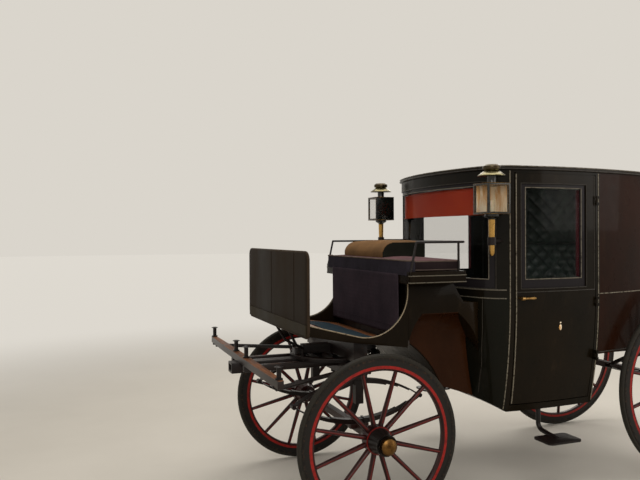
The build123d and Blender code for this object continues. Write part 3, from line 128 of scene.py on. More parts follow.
# %% Colour and node helpers
def colour(card):
    """Linear RGBA of an sRGB hex value."""
    parts = [int(card[i:i + 2], 16) / 255 for i in (1, 3, 5)]
    return (*[p / 12.92 if p <= 0.04045 else ((p + 0.055) / 1.055) ** 2.4 for p in parts], 1.0)


def add(tree, kind, inputs=None, **settings):
    """Adds a node with its settings; an input is a plain value or another node's socket."""
    node = tree.nodes.new(kind)
    for name, value in settings.items():
        setattr(node, name, value)
    for name, value in (inputs or {}).items():
        if isinstance(value, bpy.types.NodeSocket):
            tree.links.new(value, node.inputs[name])
        else:
            node.inputs[name].default_value = value
    return node


def begin(name, **sockets):
    """A new material: its tree, its shader with the uniform sockets set, its object coordinates."""
    material = bpy.data.materials.new(name)
    material.use_nodes = True
    tree = material.node_tree
    tree.nodes.clear()
    values = {key.replace("_", " "): value for key, value in sockets.items()}
    shader = add(tree, "ShaderNodeBsdfPrincipled", values)
    add(tree, "ShaderNodeOutputMaterial", {"Surface": shader.outputs[0]})
    return material, tree, shader, add(tree, "ShaderNodeTexCoord").outputs["Object"]


def patches(tree, place, size, low, high, stretch=(1, 1, 1)):
    """A factor from 0 to 1 in soft patches of a size in millimetres, fading from low to high."""
    scaled = add(tree, "ShaderNodeMapping", {"Vector": place, "Scale": stretch})
    cloud = add(tree, "ShaderNodeTexNoise", {"Vector": scaled.outputs[0], "Scale": 1000 / size,
                                             "Detail": 5.0, "Roughness": 0.6})
    spread = add(tree, "ShaderNodeMapRange", {"Value": cloud.outputs["Fac"], "From Min": low,
                                              "From Max": high})
    return spread.outputs["Result"]


def calc(tree, operation, *values):
    """One sum on numbers or sockets."""
    return add(tree, "ShaderNodeMath", dict(enumerate(values)), operation=operation).outputs[0]


def between(tree, factor, first, second, share=1.0):
    """Two colours, as cards or sockets, mixed by a factor or by a share of it."""
    if share < 1:
        factor = calc(tree, "MULTIPLY", factor, share)
    first, second = (colour(side) if isinstance(side, str) else side for side in (first, second))
    return add(tree, "ShaderNodeMix", {0: factor, 6: first, 7: second}, data_type="RGBA").outputs[2]


def shade(tree, shader, base, factor, low, high):
    """Links the colour, and a roughness that a factor moves from low to high."""
    tree.links.new(base, shader.inputs["Base Color"])
    rough = add(tree, "ShaderNodeMapRange", {"Value": factor, "To Min": low, "To Max": high})
    tree.links.new(rough.outputs["Result"], shader.inputs["Roughness"])


def relief(tree, shader, height, depth, strength=1.0):
    """Bump of a depth in millimetres."""
    bump = add(tree, "ShaderNodeBump", {"Height": height, "Distance": depth / 1000,
                                        "Strength": strength})
    tree.links.new(bump.outputs[0], shader.inputs["Normal"])


def faced(tree, axis):
    """How far the surface looks along an axis, from -1 to 1."""
    normal = add(tree, "ShaderNodeNewGeometry").outputs["Normal"]
    return add(tree, "ShaderNodeSeparateXYZ", {0: normal}).outputs[axis]


def within(tree, place, low, high):
    """1 inside a box given by two corners in metres, 0 outside."""
    away = add(tree, "ShaderNodeVectorMath", {0: place, 1: (low + high) / 2}, operation="SUBTRACT")
    size = add(tree, "ShaderNodeVectorMath", {0: away.outputs[0]}, operation="ABSOLUTE")
    past = add(tree, "ShaderNodeVectorMath", {0: size.outputs[0], 1: (high - low) / 2},
               operation="SUBTRACT")
    x, y, z = add(tree, "ShaderNodeSeparateXYZ", {0: past.outputs[0]}).outputs
    worst = calc(tree, "MAXIMUM", calc(tree, "MAXIMUM", x, y), z)
    return calc(tree, "LESS_THAN", worst, 0.0)


print("helpers ready")

# %% [markdown]
# ## Coach varnish
# A coach body is ash and mahogany under many coats of oil paint, rubbed flat, then varnished. Old
# varnish over near-black green turns olive and brown in broad soft patches, keeps a wet gloss, and
# carries a thin dust that dulls it unevenly. The sashes, the narrow frames that hold the glass, are
# a greyer purple-black, so a box in object coordinates picks them out on the same panel.

# %% Coach varnish
def varnish(name, deep, warm, sash=None, gloss=0.1):
    """Two tones of old varnish, and the sashes' own paint in the box between sash's corners."""
    material, tree, shader, place = begin(name, IOR=1.5, Specular_IOR_Level=0.04,
                                          Coat_Weight=gloss, Coat_Roughness=0.05)
    paint = between(tree, patches(tree, place, 420, 0.36, 0.66, (1, 1, 0.6)), deep, warm)
    rubbed = patches(tree, place, 60, 0.58, 0.8, (1, 1, 0.35))
    paint = between(tree, rubbed, paint, "#3d2f20", 0.22)
    if sash:
        paint = between(tree, within(tree, place, *sash), paint, "#211e20")
    shade(tree, shader, paint, patches(tree, place, 90, 0.3, 0.75), 0.22, 0.46)
    relief(tree, shader, patches(tree, place, 5, 0.2, 0.8), 0.12, 0.25)
    return material


rear, front, sill, head = DOOR_SASH
door_sash = (at(rear, -900, sill), at(front, 900, head))
half, sill, head = FRONT_SASH
front_sash = (at(-1100, -half, sill), at(-600, half, head))
olive_varnish = varnish("olive_coach_varnish", "#0f0d08", "#19130b")
door_varnish = varnish("door_coach_varnish", "#100d07", "#1a130a", door_sash)
window_varnish = varnish("front_coach_varnish", "#0f0e0a", "#17130d", front_sash)
front_varnish = varnish("green_black_varnish", "#0d100b", "#14120c")
quarter_varnish = varnish("brown_coach_varnish", "#1a0b04", "#291207", gloss=0.06)
boot_varnish = varnish("boot_varnish", "#140e07", "#1d140a", gloss=0.04)
# the boot's side panels: their brown is a painted reflection of the floor in their turned-under
# faces
boot_panel_reflection_paint = varnish("boot_panel_painted_floor_reflection", "#291407", "#381d0c", gloss=0.05)
print("varnishes", 7)

# %% [markdown]
# ## Wheels
# Wheels are painted a dark crimson that is nearly black in the shade, and lined by hand: a thin
# line along each spoke's face, nearly worn away, and a bright band on the felloes' outer face. In
# the shader both follow from polar coordinates about the hub: the radius gives the band, and the
# angle, folded into one spoke's share of the circle, gives the distance from the spoke's middle.
# The nave has a faint ring, and beyond it a black end.

# %% Wheel paint
def polar(tree, place, hub):
    """Radius in metres and angle in turns about a hub's axle, and the way out from the middle."""
    axle = (hub.x, 0, hub.z)
    moved = add(tree, "ShaderNodeVectorMath", {0: place, 1: axle}, operation="SUBTRACT")
    x, y, z = add(tree, "ShaderNodeSeparateXYZ", {0: moved.outputs[0]}).outputs
    squares = calc(tree, "ADD", calc(tree, "POWER", x, 2.0), calc(tree, "POWER", z, 2.0))
    turns = calc(tree, "DIVIDE", calc(tree, "ARCTAN2", z, x), 2 * math.pi)
    return calc(tree, "SQRT", squares), turns, calc(tree, "ABSOLUTE", y)


def band_of(tree, value, low, high):
    """1 where a value lies between two limits."""
    return calc(tree, "MULTIPLY", calc(tree, "GREATER_THAN", value, low),
                calc(tree, "LESS_THAN", value, high))


def wheel_paint(name, hub, radius, spokes):
    material, tree, shader, place = begin(name, Specular_IOR_Level=0.2, Coat_Weight=0.12,
                                          Coat_Roughness=0.2)
    reach, turns, across = polar(tree, place, hub)
    # in metres: the red band's edges, the wheel's plane, the black end, and half a line's width
    band_low = radius - 0.083
    band_high = radius - 0.066
    plane_y = hub.y - 0.034
    nave_end = plane_y + 0.036
    line_half = 0.0042
    face = calc(tree, "GREATER_THAN", calc(tree, "ABSOLUTE", faced(tree, 1)), 0.55)
    worn = patches(tree, place, 26, 0.42, 0.7)
    deep = between(tree, patches(tree, place, 140, 0.3, 0.7), "#1c0807", "#36100d")
    spoke_turns = calc(tree, "MULTIPLY", turns, float(spokes))
    share = calc(tree, "FRACT", calc(tree, "ADD", spoke_turns, float(spokes)))
    off_middle = calc(tree, "ABSOLUTE", calc(tree, "SUBTRACT", share, 0.5))
    aside = calc(tree, "MULTIPLY", calc(tree, "MULTIPLY", off_middle, 2 * math.pi / spokes), reach)
    line = calc(tree, "MULTIPLY", calc(tree, "LESS_THAN", aside, line_half),
                band_of(tree, reach, 0.1, radius - 0.1))
    rim = band_of(tree, reach, band_low, band_high)
    ring = calc(tree, "MULTIPLY", band_of(tree, across, plane_y + 0.027, nave_end),
                band_of(tree, reach, 0.055, 0.09))
    faint = calc(tree, "MULTIPLY", calc(tree, "MULTIPLY", line, 0.3), face)
    bright = calc(tree, "MAXIMUM", rim, calc(tree, "MULTIPLY", ring, 0.5))
    lined = calc(tree, "MAXIMUM", faint, calc(tree, "MULTIPLY", bright, face))
    paint = between(tree, lined, deep, between(tree, worn, "#981a14", "#6c120e"))
    black = calc(tree, "MULTIPLY", calc(tree, "GREATER_THAN", across, nave_end),
                 calc(tree, "LESS_THAN", reach, 0.082))
    paint = between(tree, black, paint, "#110d0b")
    paint = between(tree, calc(tree, "GREATER_THAN", reach, band_high), paint, "#15110e")
    paint = between(tree, patches(tree, place, 9, 0.66, 0.72), paint, "#57422f", 0.4)
    shade(tree, shader, paint, worn, 0.3, 0.55)
    relief(tree, shader, patches(tree, place, 6, 0.2, 0.8), 0.2, 0.3)
    return material


front_wheel_paint = wheel_paint("crimson_front_wheel_paint", FRONT_HUB, FRONT_RADIUS, 12)
rear_wheel_paint = wheel_paint("crimson_rear_wheel_paint", REAR_HUB, REAR_RADIUS, 14)
print("wheel paints", 2)

# %% [markdown]
# A carriage tyre is a band of black rubber vulcanised into a steel channel. Rubber is nearly matt,
# greys with dust on its tread, and the channel's lips are painted and rub bright at the edge.

# %% Rubber tyre in a steel channel
def tyre_finish(name, hub, radius):
    material, tree, shader, place = begin(name, Specular_IOR_Level=0.25)
    reach = polar(tree, place, hub)[0]
    dust = patches(tree, place, 70, 0.32, 0.72)
    grain = patches(tree, place, 7, 0.45, 0.75)
    rubber = between(tree, grain, between(tree, dust, "#131210", "#2b2720"), "#453d31", 0.3)
    steel = between(tree, patches(tree, place, 18, 0.5, 0.7), "#120e0b", "#3a2a1e")
    channel = calc(tree, "LESS_THAN", reach, radius - 0.0225)
    shade(tree, shader, between(tree, channel, rubber, steel), dust, 0.62, 0.85)
    relief(tree, shader, grain, 0.3, 0.5)
    return material


front_tyre = tyre_finish("front_rubber_tyre", FRONT_HUB, FRONT_RADIUS)
rear_tyre = tyre_finish("rear_rubber_tyre", REAR_HUB, REAR_RADIUS)
print("tyres", 2)

# %% [markdown]
# ## Iron, brass and gear timber
# The springs, axles and stays are forged iron and steel, painted black over a dark red. The paint
# wears to rust-brown in small patches.

# %% Iron and painted steel
def iron_paint(name, base, rub, rough=(0.35, 0.6)):
    material, tree, shader, place = begin(name, Specular_IOR_Level=0.22)
    worn = patches(tree, place, 22, 0.55, 0.78)
    tint = patches(tree, place, 160, 0.35, 0.65)
    paint = between(tree, tint, between(tree, worn, base, rub, 0.55), "#220c0a", 0.3)
    shade(tree, shader, paint, worn, *rough)
    relief(tree, shader, patches(tree, place, 8, 0.25, 0.8), 0.4, 0.35)
    return material


black_iron = iron_paint("black_forged_iron", "#0f0c0b", "#2e2119")
spring_steel = iron_paint("painted_spring_steel", "#120c0a", "#38221a")
axle_paint = iron_paint("red_brown_axle_paint", "#26100b", "#452516", (0.4, 0.65))
print("iron finishes", 3)

# %% [markdown]
# The splinter bar, the bed and the wheel plate are ash, painted like the iron. Where traces, boots
# and hands rub, the wood shows through, orange-brown, in small chips. On faces that look up it
# also shows in wide patches: a painted highlight from the light above, added to the wear.

# %% Worn gear timber
def gear_timber(name, base, bare, start, end):
    material, tree, shader, place = begin(name, Specular_IOR_Level=0.35)
    grain = patches(tree, place, 14, 0.35, 0.7, (1, 0.06, 1))
    wood = between(tree, grain, bare, "#4e2c15")
    # faces that look up show bare wood in wide patches: a painted highlight from the light above,
    # added to the worn chips
    lit_from_above = add(tree, "ShaderNodeMapRange", {"Value": faced(tree, 2), "From Min": 0.6,
                                              "From Max": 0.9}).outputs["Result"]
    rubbed = calc(tree, "MULTIPLY", lit_from_above, patches(tree, place, 120, start, end))
    chipped = calc(tree, "MULTIPLY", patches(tree, place, 24, 0.62, 0.74), 0.6)
    bare_wood_and_top_highlight = calc(tree, "MAXIMUM", rubbed, chipped)
    shade(tree, shader, between(tree, bare_wood_and_top_highlight, base, wood), bare_wood_and_top_highlight, 0.35, 0.62)
    relief(tree, shader, grain, 0.3, 0.4)
    return material


splinter_wood = gear_timber("splinter_bar_ash_wear_and_top_highlight", "#180c09", "#7d4a24", 0.25, 0.5)
bed_wood = gear_timber("painted_bed_ash", "#160b09", "#54311a", 0.5, 0.75)
print("gear timbers", 2)

# %% [markdown]
# Cast brass that nobody polishes daily is dull gold in the open and brown in the corners. The metal
# is fully metallic, and only its tint and roughness vary. The hub caps are brass with an iron
# wrench collar, so the distance from the centre line parts the two.

# %% Brass
def brass(name, collar_y=None, bright="#b8935a", dull="#6b4c27"):
    material, tree, shader, place = begin(name, Metallic=1.0)
    tarnish = patches(tree, place, 34, 0.35, 0.7)
    metal = between(tree, tarnish, bright, dull)
    if collar_y:
        across = add(tree, "ShaderNodeSeparateXYZ", {0: place}).outputs[1]
        across = calc(tree, "ABSOLUTE", across)
        metal = between(tree, calc(tree, "LESS_THAN", across, collar_y), metal, "#241d17")
    shade(tree, shader, metal, tarnish, 0.24, 0.5)
    relief(tree, shader, patches(tree, place, 5, 0.3, 0.8), 0.15, 0.3)
    return material


handle_brass = brass("handle_brass")
front_cap_brass = brass("front_hub_brass", 0.7932, "#77572f", "#422c15")
rear_cap_brass = brass("rear_hub_brass", 0.7852, "#77572f", "#422c15")
lamp_trim_brass = brass("lamp_trim_brass", None, "#75592f", "#3a2a16")
print("brass finishes", 4)

# %% [markdown]
# A lamp is made of several metals, and they follow each other upwards: a brass candle tube, a black
# pan, a black case with brass corners, a black neck, and a nickel-silver hood and crown. One colour
# ramp on height, with hard steps, paints them all.

# %% Lamp metals
LAMP_FOOT = 1.55
LAMP_TALL = 0.55
# lower end of each zone in metres, its colour, and whether it is bare metal
LAMP_ZONES = ((LAMP_FOOT, "#b58d4c", 1), (1.767, "#0c0e0b", 0), (1.9835, "#0e0e0b", 0),
              (2.0275, "#7a7354", 1), (2.066, "#3f382a", 1))


def zone_ramp(tree, share, cards):
    """A colour ramp with hard steps at the zones' lower ends."""
    ramp = add(tree, "ShaderNodeValToRGB", {0: share})
    ramp.color_ramp.interpolation = "CONSTANT"
    while len(ramp.color_ramp.elements) < len(LAMP_ZONES):
        ramp.color_ramp.elements.new(0.5)
    for stop, zone, card in zip(ramp.color_ramp.elements, LAMP_ZONES, cards):
        stop.position = (zone[0] - LAMP_FOOT) / LAMP_TALL
        stop.color = card
    return ramp.outputs[0]


def lamp_finish():
    material, tree, shader, place = begin("lamp_japan_and_brass", Specular_IOR_Level=0.5)
    height = add(tree, "ShaderNodeSeparateXYZ", {0: place}).outputs[2]
    limits = {"Value": height, "From Min": LAMP_FOOT, "From Max": LAMP_FOOT + LAMP_TALL}
    share = add(tree, "ShaderNodeMapRange", limits).outputs["Result"]
    paint = zone_ramp(tree, share, [colour(card) for z, card, bare in LAMP_ZONES])
    metallic = zone_ramp(tree, share, [(bare, bare, bare, 1) for z, card, bare in LAMP_ZONES])
    tarnish = patches(tree, place, 26, 0.4, 0.75)
    dulled = calc(tree, "MULTIPLY", tarnish, metallic)
    tree.links.new(metallic, shader.inputs["Metallic"])
    shade(tree, shader, between(tree, dulled, paint, "#4a3822", 0.5), tarnish, 0.2, 0.42)
    return material


lamp_metal = lamp_finish()
print("lamp zones", len(LAMP_ZONES))

# %% [markdown]
# ## Glass
# Carriage glass is plate, thin enough here to bend nothing that is seen through it: it darkens a
# little, keeps a sharp gloss, and hand marks dull that gloss in soft patches.

# %% Glass
def glass(name, tint, smeared, cover):
    material, tree, shader, place = begin(name, IOR=1.46, Specular_IOR_Level=0.5, Alpha=cover)
    smear = patches(tree, place, 120, 0.3, 0.75)
    shade(tree, shader, between(tree, smear, tint, smeared), smear, 0.0, 0.03)
    return material


window_glass = glass("plate_window_glass", "#0f1412", "#1d2421", 0.08)
lamp_glass = glass("bevelled_lamp_glass", "#6a5a44", "#8c7d63", 0.08)
print("glass", 2)

# %% [markdown]
# ## Cloth and leather
# The driver's seat is covered in box cloth, a heavy felted wool, faded in broad patches where the
# sun reaches it. Felt hides its threads: what shows is the nap, pressed into soft mottles about
# 25 mm wide. Its short hairs catch the light at a slant, which the shader's sheen does.

# %% Cloth
# millimetres from one rib to the next in a wave texture of scale 1
WAVE_RIB = 1000 * 2 * math.pi / 20


def nap(tree, place, mottle):
    """Height of a pressed nap: ribs along each axis, so that some cross any face, as mottles."""
    ribs = [add(tree, "ShaderNodeTexWave",
                {"Vector": place, "Scale": WAVE_RIB / mottle, "Distortion": 0.4},
                wave_type="BANDS", bands_direction=axis).outputs["Fac"] for axis in "XYZ"]
    return calc(tree, "MULTIPLY", calc(tree, "MULTIPLY", ribs[0], ribs[1]), ribs[2])


def cloth(name, dark, light, sheen, mottle=25.13, patch=220, sheen_weight=0.35):
    material, tree, shader, place = begin(name, Specular_IOR_Level=0.03, Sheen_Weight=sheen_weight,
                                          Sheen_Roughness=0.45, Sheen_Tint=colour(sheen))
    faded = patches(tree, place, patch, 0.34, 0.68)
    height = nap(tree, place, mottle)
    base = between(tree, height, between(tree, faded, dark, light), dark, 0.35)
    shade(tree, shader, base, faded, 0.78, 0.95)
    relief(tree, shader, height, 0.5, 0.5)
    return material


plum_cloth = cloth("plum_box_cloth", "#402e32", "#634649", "#917877")
fall_cloth = cloth("grey_plum_fall_cloth", "#2d272d", "#40363d", "#625862", sheen_weight=0.2)
drab_cloth = cloth("drab_box_cloth", "#5a412a", "#7a5939", "#a08a6c")
end_cloth = cloth("dark_green_box_cloth", "#191a16", "#25251f", "#55554a", sheen_weight=0.2)
valance_cloth = cloth("plum_black_valance_cloth", "#29262c", "#39353e", "#58525e",
                      sheen_weight=0.15)
# a darker copy of the plum cloth for the cushion's sides: painted shade below the lit top
shaded_side_cloth = cloth("cushion_side_painted_shade_cloth", "#1e1819", "#2d2425", "#5a4c4c",
                   sheen_weight=0.2)
# lighter than the cloth it edges: a painted highlight along the round pipings
highlit_piping_cloth = cloth("plum_piping_painted_highlight", "#453b37", "#65574e", "#9a8c82", 18.85, 60)
cabin_cloth = cloth("cabin_seat_cloth", "#1c2526", "#2a3536", "#5b6c6c", patch=150)
blind_cloth = cloth("terracotta_blind_silk", "#a2301c", "#b84428", "#c66a50", patch=200,
                    sheen_weight=0.15)
mat_cloth = cloth("dark_blue_foot_mat", "#182229", "#24323b", "#51626c", 37.7, 80)
print("cloths", 10)

# %% [markdown]
# The dash is patent leather over an iron frame, streaked downwards by rain, scuffed and dulled by
# dust. The cabin is lined with morocco, a thin goatskin stretched over hair: its swellings glint
# while its folds stay dark. Both leathers have a fine pebble, drawn as cells of 4 to 5 mm.

# %% Leather
def pebbled(tree, shader, place, size, depth):
    """Relief of a leather's grain, in cells of a size and of a depth in millimetres."""
    cells = add(tree, "ShaderNodeTexVoronoi", {"Vector": place, "Scale": 1000 / size})
    relief(tree, shader, cells.outputs["Distance"], depth, 0.25)


def leather(name, dark, light):
    material, tree, shader, place = begin(name, Specular_IOR_Level=0.02, Coat_Weight=0.02,
                                          Coat_Roughness=0.3)
    streaks = patches(tree, place, 420, 0.3, 0.7, (1, 1, 0.3))
    scuffs = patches(tree, place, 12, 0.62, 0.78)
    base = between(tree, scuffs, between(tree, streaks, dark, light), "#453829", 0.25)
    shade(tree, shader, base, streaks, 0.38, 0.6)
    pebbled(tree, shader, place, 5, 0.2)
    return material


def morocco(name, dark, light):
    material, tree, shader, place = begin(name, Specular_IOR_Level=0.8, Coat_Weight=0.5,
                                          Coat_Roughness=0.15)
    base = between(tree, patches(tree, place, 90, 0.34, 0.68), dark, light)
    shade(tree, shader, base, patches(tree, place, 40, 0.3, 0.7), 0.28, 0.45)
    pebbled(tree, shader, place, 4, 0.15)
    return material


dash_leather = leather("patent_dash_leather", "#1c150d", "#2a1f13")
band_leather = leather("worn_dash_band_leather", "#2b261d", "#3b3427")
welt_leather = leather("rubbed_welt_leather", "#2a211a", "#463a2e")
lining_leather = morocco("blue_green_morocco", "#334541", "#566a64")
print("leathers", 4)

# %% [markdown]
# ## Painted roof, floorboards and the painted highlight on the mouldings
# The roof is canvas bedded in paint. The footboard is bare varnished wood, scrubbed by boots. The
# mouldings are half-round beads; a pale colour along them is a painted highlight, broken in patches
# to the dark ground.

# %% Roof, boards and bead line
BOARD_WIDTH = 0.135
JOINT_HALF = 0.0016


def floor_boards(name, dark, light):
    material, tree, shader, place = begin(name, Specular_IOR_Level=0.35)
    grain = patches(tree, place, 9, 0.3, 0.72, (0.08, 1, 1))
    across = add(tree, "ShaderNodeSeparateXYZ", {0: place}).outputs[1]
    across = calc(tree, "PINGPONG", across, BOARD_WIDTH / 2)
    joint = calc(tree, "LESS_THAN", across, JOINT_HALF)
    wood = between(tree, joint, between(tree, grain, light, dark), "#140d08", 0.85)
    dirt = patches(tree, place, 90, 0.42, 0.72)
    shade(tree, shader, between(tree, dirt, wood, "#33271d", 0.6), dirt, 0.4, 0.7)
    relief(tree, shader, grain, 0.4, 0.5)
    return material


def bead_line(name, pale, ground, highlight_break):
    material, tree, shader, place = begin(name, Specular_IOR_Level=0.25)
    # the pale colour is a painted highlight along the round bead, and the patches break it to the
    # dark ground
    worn = patches(tree, place, 16, highlight_break, highlight_break + 0.14)
    shade(tree, shader, between(tree, worn, pale, ground), worn, 0.32, 0.5)
    return material


foot_boards = floor_boards("varnished_foot_boards", "#54301a", "#8a5530")
dark_boards = floor_boards("dark_floor_boards", "#1c1511", "#2a1f17")
roof_paint = varnish("painted_roof_canvas", "#1b1712", "#27201a")
cream_bead = bead_line("cream_bead_painted_highlight", "#7d7566", "#2b241a", 0.5)
dark_bead = bead_line("dark_bead", "#2c2721", "#15110d", 0.5)
pale_bead = bead_line("pale_bead_painted_highlight", "#8f8069", "#3f3426", 0.55)
grey_bead = bead_line("grey_moulding_painted_highlight", "#5f594d", "#241f19", 0.55)
print("roof, boards and beads ready")

# %% [markdown]
# ## Giving the solids their finish
# Each solid gets one material. Its mesh isn't touched: a Weld modifier joins its loose triangles, a
# Bevel takes the razor edge off timber and iron, and an Edge Split keeps real corners crisp while
# the round parts shade smoothly.

# %% Dress the solids
# each finish with its solids; a name that ends in a line stands for a left and a right one
FINISHES = (
    (front_varnish, "lower_front_panel"), (window_varnish, "front_window_frame"),
    (olive_varnish, "door_frames"), (door_varnish, "door_"), (roof_paint, "roof"),
    (quarter_varnish, "lower_quarters upper_quarters back_panel"),
    (window_glass, "front_glass door_glass_"), (dark_boards, "floor inside_seat_box"),
    (boot_varnish, "boot footboard_sides drivers_seat"), (boot_panel_reflection_paint, "boot_side_panels"),
    (foot_boards, "footboard"), (dash_leather, "dash"), (lamp_metal, "lamps"),
    (lamp_glass, "lamp_glasses"), (handle_brass, "door_handle_"),
    (black_iron, "footboard_irons seat_rail lamp_irons steps perch_bolt rear_spring_irons "
                 "lower_wheel_plate splinter_stays roller_bolts pole_socket"),
    (bed_wood, "upper_wheel_plate front_bed futchells"), (splinter_wood, "splinter_bar"),
    (spring_steel, "rear_springs front_springs"), (axle_paint, "rear_axle front_axle"),
    (front_wheel_paint, "wheel_front_"), (rear_wheel_paint, "wheel_rear_"),
    (front_tyre, "tyre_front_"), (rear_tyre, "tyre_rear_"),
    (front_cap_brass, "hub_cap_front_"), (rear_cap_brass, "hub_cap_rear_"))
finish_of = {}
for finish, names in FINISHES:
    for name in names.split():
        ends = ("left", "right") if name.endswith("_") else ("",)
        finish_of.update((name + end, finish) for end in ends)

# width of the softened edges in millimetres
edge_of = {"dash": 3, "drivers_seat": 3, "footboard_sides": 2, "splinter_bar": 4, "front_bed": 4,
           "futchells": 4, "upper_wheel_plate": 2, "front_axle": 3, "rear_axle": 3, "lamps": 1.2,
           "steps": 2, "pole_socket": 2, "rear_spring_irons": 3, "boot": 2, "roof": 4}
# corners sharper than these, in degrees, are softened and kept crisp
SOFTENED = 40
CRISP = 33
for name, finish in finish_of.items():
    solid = nodes[name]
    solid.data.materials.clear()
    solid.data.materials.append(finish)
    solid.data.polygons.foreach_set("use_smooth", [True] * len(solid.data.polygons))
    weld = solid.modifiers.new("weld", "WELD")
    weld.merge_threshold = MERGE
    if name in edge_of:
        bevel = solid.modifiers.new("soft_edge", "BEVEL")
        bevel.width = edge_of[name] / 1000
        bevel.segments = 2
        bevel.limit_method = "ANGLE"
        bevel.angle_limit = math.radians(SOFTENED)
    crisp = solid.modifiers.new("crisp_corners", "EDGE_SPLIT")
    crisp.split_angle = math.radians(CRISP)
print("solids dressed", len(finish_of))

# %% [markdown]
# ## Finding the surface
# Mouldings have to lie on the curved walls. Instead of repeating the body's curves, each bead's
# points are shot at the solids with rays, so a bead is where the wall is. A line that goes round
# the body is found on the left half and mirrored.

# %% Rays onto the walls
def surface(*names):
    """One searchable surface from the named solids."""
    shell = bmesh.new()
    for name in names:
        shell.from_mesh(nodes[name].data)
    tree = BVHTree.FromBMesh(shell)
    shell.free()
    return tree


def laid(tree, corners, direction, step=0.025, run_up=0.9):
    """Points along the runs between corners, each pushed in one direction onto the surface."""
    points = []
    for start, end in zip(corners, corners[1:]):
        count = max(1, round((end - start).length / step))
        points += [start.lerp(end, i / count) for i in range(count)]
    points.append(corners[-1])
    hits = [tree.ray_cast(p - direction * run_up, direction)[0] for p in points]
    return [hit for hit in hits if hit is not None]


def girdle(tree, z, keep=lambda p: True, step=1.5):
    """The left half of a level line round the body, from the bow's middle to the back's."""
    hits = []
    middle = at(-1480, 0, z)
    for i in range(round(180 / step) + 1):
        turn = math.radians(i * step)
        away = Vector((math.cos(turn), math.sin(turn), 0))
        hit = tree.ray_cast(middle + away * 2, -away)[0]
        if hit is not None and keep(hit):
            hits.append(hit)
    return hits


def mirrored(points):
    return [Vector((p.x, -p.y, p.z)) for p in reversed(points)]


walls = surface("front_window_frame", "lower_front_panel", "door_frames", "lower_quarters",
                "upper_quarters", "back_panel")
print("walls ready for rays")

# %% [markdown]
# ## Making a piece
# Everything that is added is either a bead, a round curve along a line of points, or a mesh drawn
# as a bmesh. Sheets start as a flat grid whose points are moved one by one, and a Solidify modifier
# gives them their thickness. Each piece gets one finish, and rides on the body that carries it.

# %% Beads, meshes and sheets
def beads(name, radius, lines, material, body="carriage_body", closed=False):
    """Round beads of a radius in millimetres along lines of points, as one piece on a body."""
    curve = bpy.data.curves.new(name, "CURVE")
    curve.dimensions = "3D"
    curve.bevel_depth = radius / 1000
    curve.bevel_resolution = 2
    curve.use_fill_caps = True
    for line in lines:
        spline = curve.splines.new("POLY")
        spline.points.add(len(line) - 1)
        for point, place in zip(spline.points, line):
            point.co = (*place, 1)
        spline.use_cyclic_u = closed
    piece = bpy.data.objects.new(name, curve)
    scene.collection.objects.link(piece)
    curve.materials.append(material)
    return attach(piece, body)


def mesh_piece(name, shape, material, smooth=True):
    """An object from a bmesh, which is freed."""
    mesh = bpy.data.meshes.new(name)
    shape.to_mesh(mesh)
    shape.free()
    mesh.materials.append(material)
    mesh.polygons.foreach_set("use_smooth", [smooth] * len(mesh.polygons))
    piece = bpy.data.objects.new(name, mesh)
    scene.collection.objects.link(piece)
    return piece


def fixed(name, shape, material, body="carriage_body", smooth=False):
    """A rigid piece that rides on a body."""
    piece = mesh_piece(name, shape, material, smooth)
    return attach(piece, body)


def grid_of(columns, rows, move):
    """A grid with each point put at move(across, up), both counted from -0.5 to 0.5."""
    grid = bmesh.new()
    bmesh.ops.create_grid(grid, x_segments=columns, y_segments=rows, size=0.5)
    for vertex in grid.verts:
        vertex.co = move(vertex.co.x, vertex.co.y)
    return grid


def evened(grid):
    """The same grid with all its faces looking to one side."""
    bmesh.ops.recalc_face_normals(grid, faces=grid.faces)
    return grid


def thicken(piece, name, wall, offset=-1):
    """A wall in millimetres: behind the faces at offset -1, before them at 1, astride at 0."""
    solid = piece.modifiers.new(name, "SOLIDIFY")
    solid.thickness = wall / 1000
    solid.offset = offset


print("piece helpers ready")

# %% [markdown]
# The body's mouldings: a double belt round the bow, a single belt on the quarters and back, an
# upright line on each door post, and the line that parts the bow's panel from its side, which
# runs in towards the bottom.

# %% Body mouldings
# lines of the bow stay before the first of these, and lines of the rear walls behind the second
BEHIND_BOW = at(-905, 0, 0).x
BEHIND_DOOR = at(-1634, 0, 0).x
bow_lines = []
for z in (1332, 1279):
    half = girdle(walls, z, lambda p: p.x > BEHIND_BOW)
    bow_lines.append(mirrored(half) + half[1:])
beads("bow_belt_beads", 4, bow_lines, grey_bead)
for name, z, radius, line_finish in (("rear_belt_bead", 1286, 3.4, cream_bead),
                                     ("rear_foot_bead", 893, 4, dark_bead)):
    half = girdle(walls, z, lambda p: p.x < BEHIND_DOOR)
    beads(name, radius, [half + mirrored(half)[1:]], line_finish)
post_lines = []
panel_lines = []
for side, sign in SIDES:
    # each door post's middle, and the height of its foot
    for x, low in ((-921, 570), (-1622, 566)):
        ends = [at(x, sign * SIDE, low), at(x, sign * SIDE, 2078)]
        post_lines.append(laid(walls, ends, INWARD[side]))
    corners = [at(-800, sign * y, z) for y, z in ((545, 1270), (538, 1080), (510, 850), (455, 660))]
    panel_lines.append(laid(walls, corners, BACKWARD))
beads("post_beads", 3.6, post_lines, cream_bead)
beads("bow_panel_beads", 3.2, panel_lines, dark_bead)
BACK_CORNER = 470
back_lines = []
for y in (-BACK_CORNER, BACK_CORNER):
    back_lines.append(laid(walls, [at(-2285, y, 900), at(-2285, y, 2076)], FORWARD))
ends = [at(-2285, -BACK_CORNER, 2062), at(-2285, BACK_CORNER, 2062)]
back_lines.append(laid(walls, ends, FORWARD))
beads("back_beads", 3.6, back_lines, dark_bead)
print("moulding lines", len(bow_lines) + len(post_lines) + len(panel_lines) + len(back_lines) + 2)

